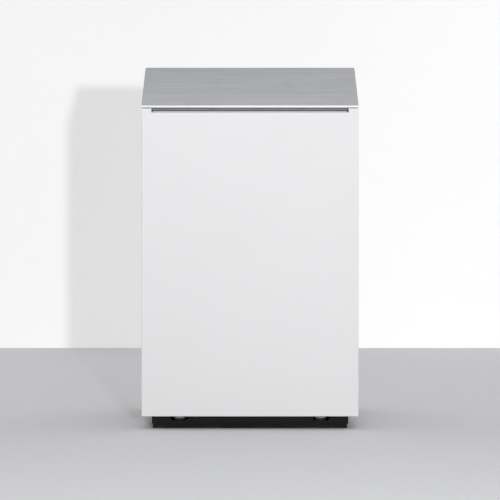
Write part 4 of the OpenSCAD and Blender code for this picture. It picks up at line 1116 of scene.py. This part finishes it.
def make_terminals():
    """Row of rail terminals with a screw at each end and a blank white tag."""
    grey, screws, tags = bmesh.new(), bmesh.new(), bmesh.new()
    slab(grey, rail(TERMINALS[0], 8, -24), rail(box_mm("terminal_strip")[1].x, 0, 24), 0.6)
    for x in TERMINALS:
        slab(grey, rail(x, 30, -26), rail(x + 8.8, 4, 26), 0.6)
        slab(grey, rail(x, 40, -15), rail(x + 8.8, 28, 15), 0.6)
        slab(tags, rail(x + 1, 40.6, -4), rail(x + 7.8, 39.6, 4), 0.3)
        for dz in (-20, 20):
            pan_screw(screws, rail(x + 4.4, 30, dz), AHEAD, 2.9, 1.2)
    piece("terminal_housings", grey, "light_grey_plastic", ["terminal_strip"])
    piece("terminal_screws", screws, "zinc_fasteners")
    piece("terminal_tags", tags, "light_grey_plastic", material=TAG_WHITE)


def make_board():
    """Controller board with relays, transformer, capacitors, chips and plug rows."""
    low, high = box_mm("controller_board")
    back = high.y
    face = back - 11.6
    bm = bmesh.new()
    slab(bm, (low.x, face, low.z), (high.x, back - 10, high.z), 0.5)
    piece("board_laminate", bm, "circuit_board", ["controller_board"])

    bm = bmesh.new()
    for i in range(6):
        slab(bm, (-240 + i * 26, face - 16.4, 850), (-222 + i * 26, face + 0.2, 880), 0.8)
    for x, w, z, h in ((-82, 6, 872, 8), (8, 22, 872, 12), (-250, 8, 888, 8), (36, 10, 860, 10)):
        slab(bm, (x, face - 2.2, z), (x + w, face + 0.2, z + h), 0.3)
    slab(bm, (-68, face - 28.4, 853), (-32, face - 4, 882), 2.5, 3)
    piece("board_black_parts", bm, "black_plastic")

    bm = bmesh.new()
    slab(bm, (-70, face - 24, 845), (-30, face + 0.2, 890), 0.8)
    for x in (-20, -6, 44):
        rod(bm, (x, face, 893), AHEAD, 17, 5.4, 1.0, 24)
    for x in (-254, 52):
        for z in (840, 897):
            rod(bm, (x, back, z), AHEAD, 10, 3, 0.4, 6)
            pan_screw(bm, (x, face, z), AHEAD, 3.2, 2)
    piece("board_metal_parts", bm, "lamination_steel")

    bm = bmesh.new()
    for i in range(7):
        slab(bm, (-20 + i * 11, face - 10.4, 838), (-11 + i * 11, face + 0.2, 850), 0.5)
    for i in range(9):
        slab(bm, (-244 + i * 17, face - 9, 835), (-231 + i * 17, face + 0.2, 845), 0.5)
    piece("board_plugs", bm, "light_grey_plastic", material=TAG_WHITE)


def make_trunking():
    """Slotted cable trunking under the mounting rail and beneath the board."""
    bm = bmesh.new()
    for z0, z1, x0, x1 in ((684, 718, -268, 268), (868, 892, 78, 268)):
        slab(bm, (x0, -186, z0), (x1, -183.6, z1), 0.6)
        for z in (z0, z1 - 1.6):
            for x in range(x0, x1 - 5, 8):
                slab(bm, (x, -216, z), (x + 4.6, -184, z + 1.6), 0.4, 1)
        slab(bm, (x0, -218, z0 - 1), (x1, -215.6, z1 + 1), 0.8)
    piece("cable_trunking", bm, "light_grey_plastic", material=GREY_WIRE)


def make_wires():
    """Fixed cables of the CAD routes, loose leads between the devices and the trunking, and cable ties."""
    cx, cy = COMPRESSOR
    lead_y = cy - 92 - 18
    bm = bmesh.new()
    tube(bm, [(-250, -215, 664), (-250, -215, 560), (-250, lead_y, 560), (-250, lead_y, 410),
              (cx - 32, lead_y, 410)], 5, 20)
    for x, y in ((95, 60 - 94), (230, 40 - 94)):
        tube(bm, [(x, -215, 664), (x, -215, 610), (x, y, 610), (x, y, 684)], 4, 16)
    tube(bm, [(-10, -38, 673), (-10, -38, 622), (60, -38, 622), (60, -215, 622), (60, -215, 652)], 4, 14)
    piece("cable_runs", bm, "cable_sheath", ["wiring"])

    ties = bmesh.new()
    for x, y, z in ((-250, -215, 600), (95, -215, 640), (230, -215, 640)):
        turned(ties, (x, y, z), UP, [(0, 3.8), (0, 6.2), (3, 6.2), (3, 3.8)], 20, True)
        slab(ties, (x + 4, y - 9, z - 1), (x + 9, y - 4, z + 4), 0.8)
    piece("cable_ties", ties, "light_grey_plastic", material=TAG_WHITE)

    shades = {"brown": BROWN_WIRE, "blue": BLUE_WIRE, "grey": GREY_WIRE, "earth": EARTH_WIRE}
    kinds = list(shades)
    wires = {kind: bmesh.new() for kind in kinds}

    def lead(kind, points, radius, bend):
        tube(wires[kind], points, radius, bend, 8, 4)

    for i, x in enumerate(x + 4.4 for x in TERMINALS):
        down = [(x, -212, RAIL_Z - 25), (x, -214, RAIL_Z - 40), (x + 1, -205, TRUNK_TOP)]
        lead(kinds[(i * 7 + i // 3) % 4], down, 1.5, 5)
        if i % 3 != 1:
            up = [(x, -212, RAIL_Z + 25), (x, -216, 830), (x + 1.5, -206, 872)]
            lead(kinds[(i * 5 + 1) % 4], up, 1.3, 8)
    for first, breaker in zip(CONTACTORS, BREAKERS):
        for k in range(3):
            x = first + 6.9 + k * 12
            down = [(x, -240, RAIL_Z - 37), (x, -236, RAIL_Z - 52), (x + 2, -206, TRUNK_TOP)]
            lead("brown" if k else "blue", down, 1.7, 6)
            lead("grey", [(x, -240, RAIL_Z + 37), (x, -232, 826), (x + 3, -201, 838)], 1.2, 6)
        x = breaker + 8.8
        lead("brown", [(x, -236, RAIL_Z - 41), (x, -232, RAIL_Z - 54), (x + 2, -206, TRUNK_TOP)], 2.0, 6)
    for kind, bm in wires.items():
        piece("leads_" + kind, bm, "cable_sheath", material=shades[kind])


make_camera()
make_world()
make_lights()
make_stage()
finish_cad_nodes()
make_front_panel()
make_flap()
make_casing_details()
make_feet()
make_glands()
make_controls()
make_circuits()
make_relief_caps()
make_breakers()
make_contactors()
make_terminals()
make_board()
make_trunking()
make_wires()
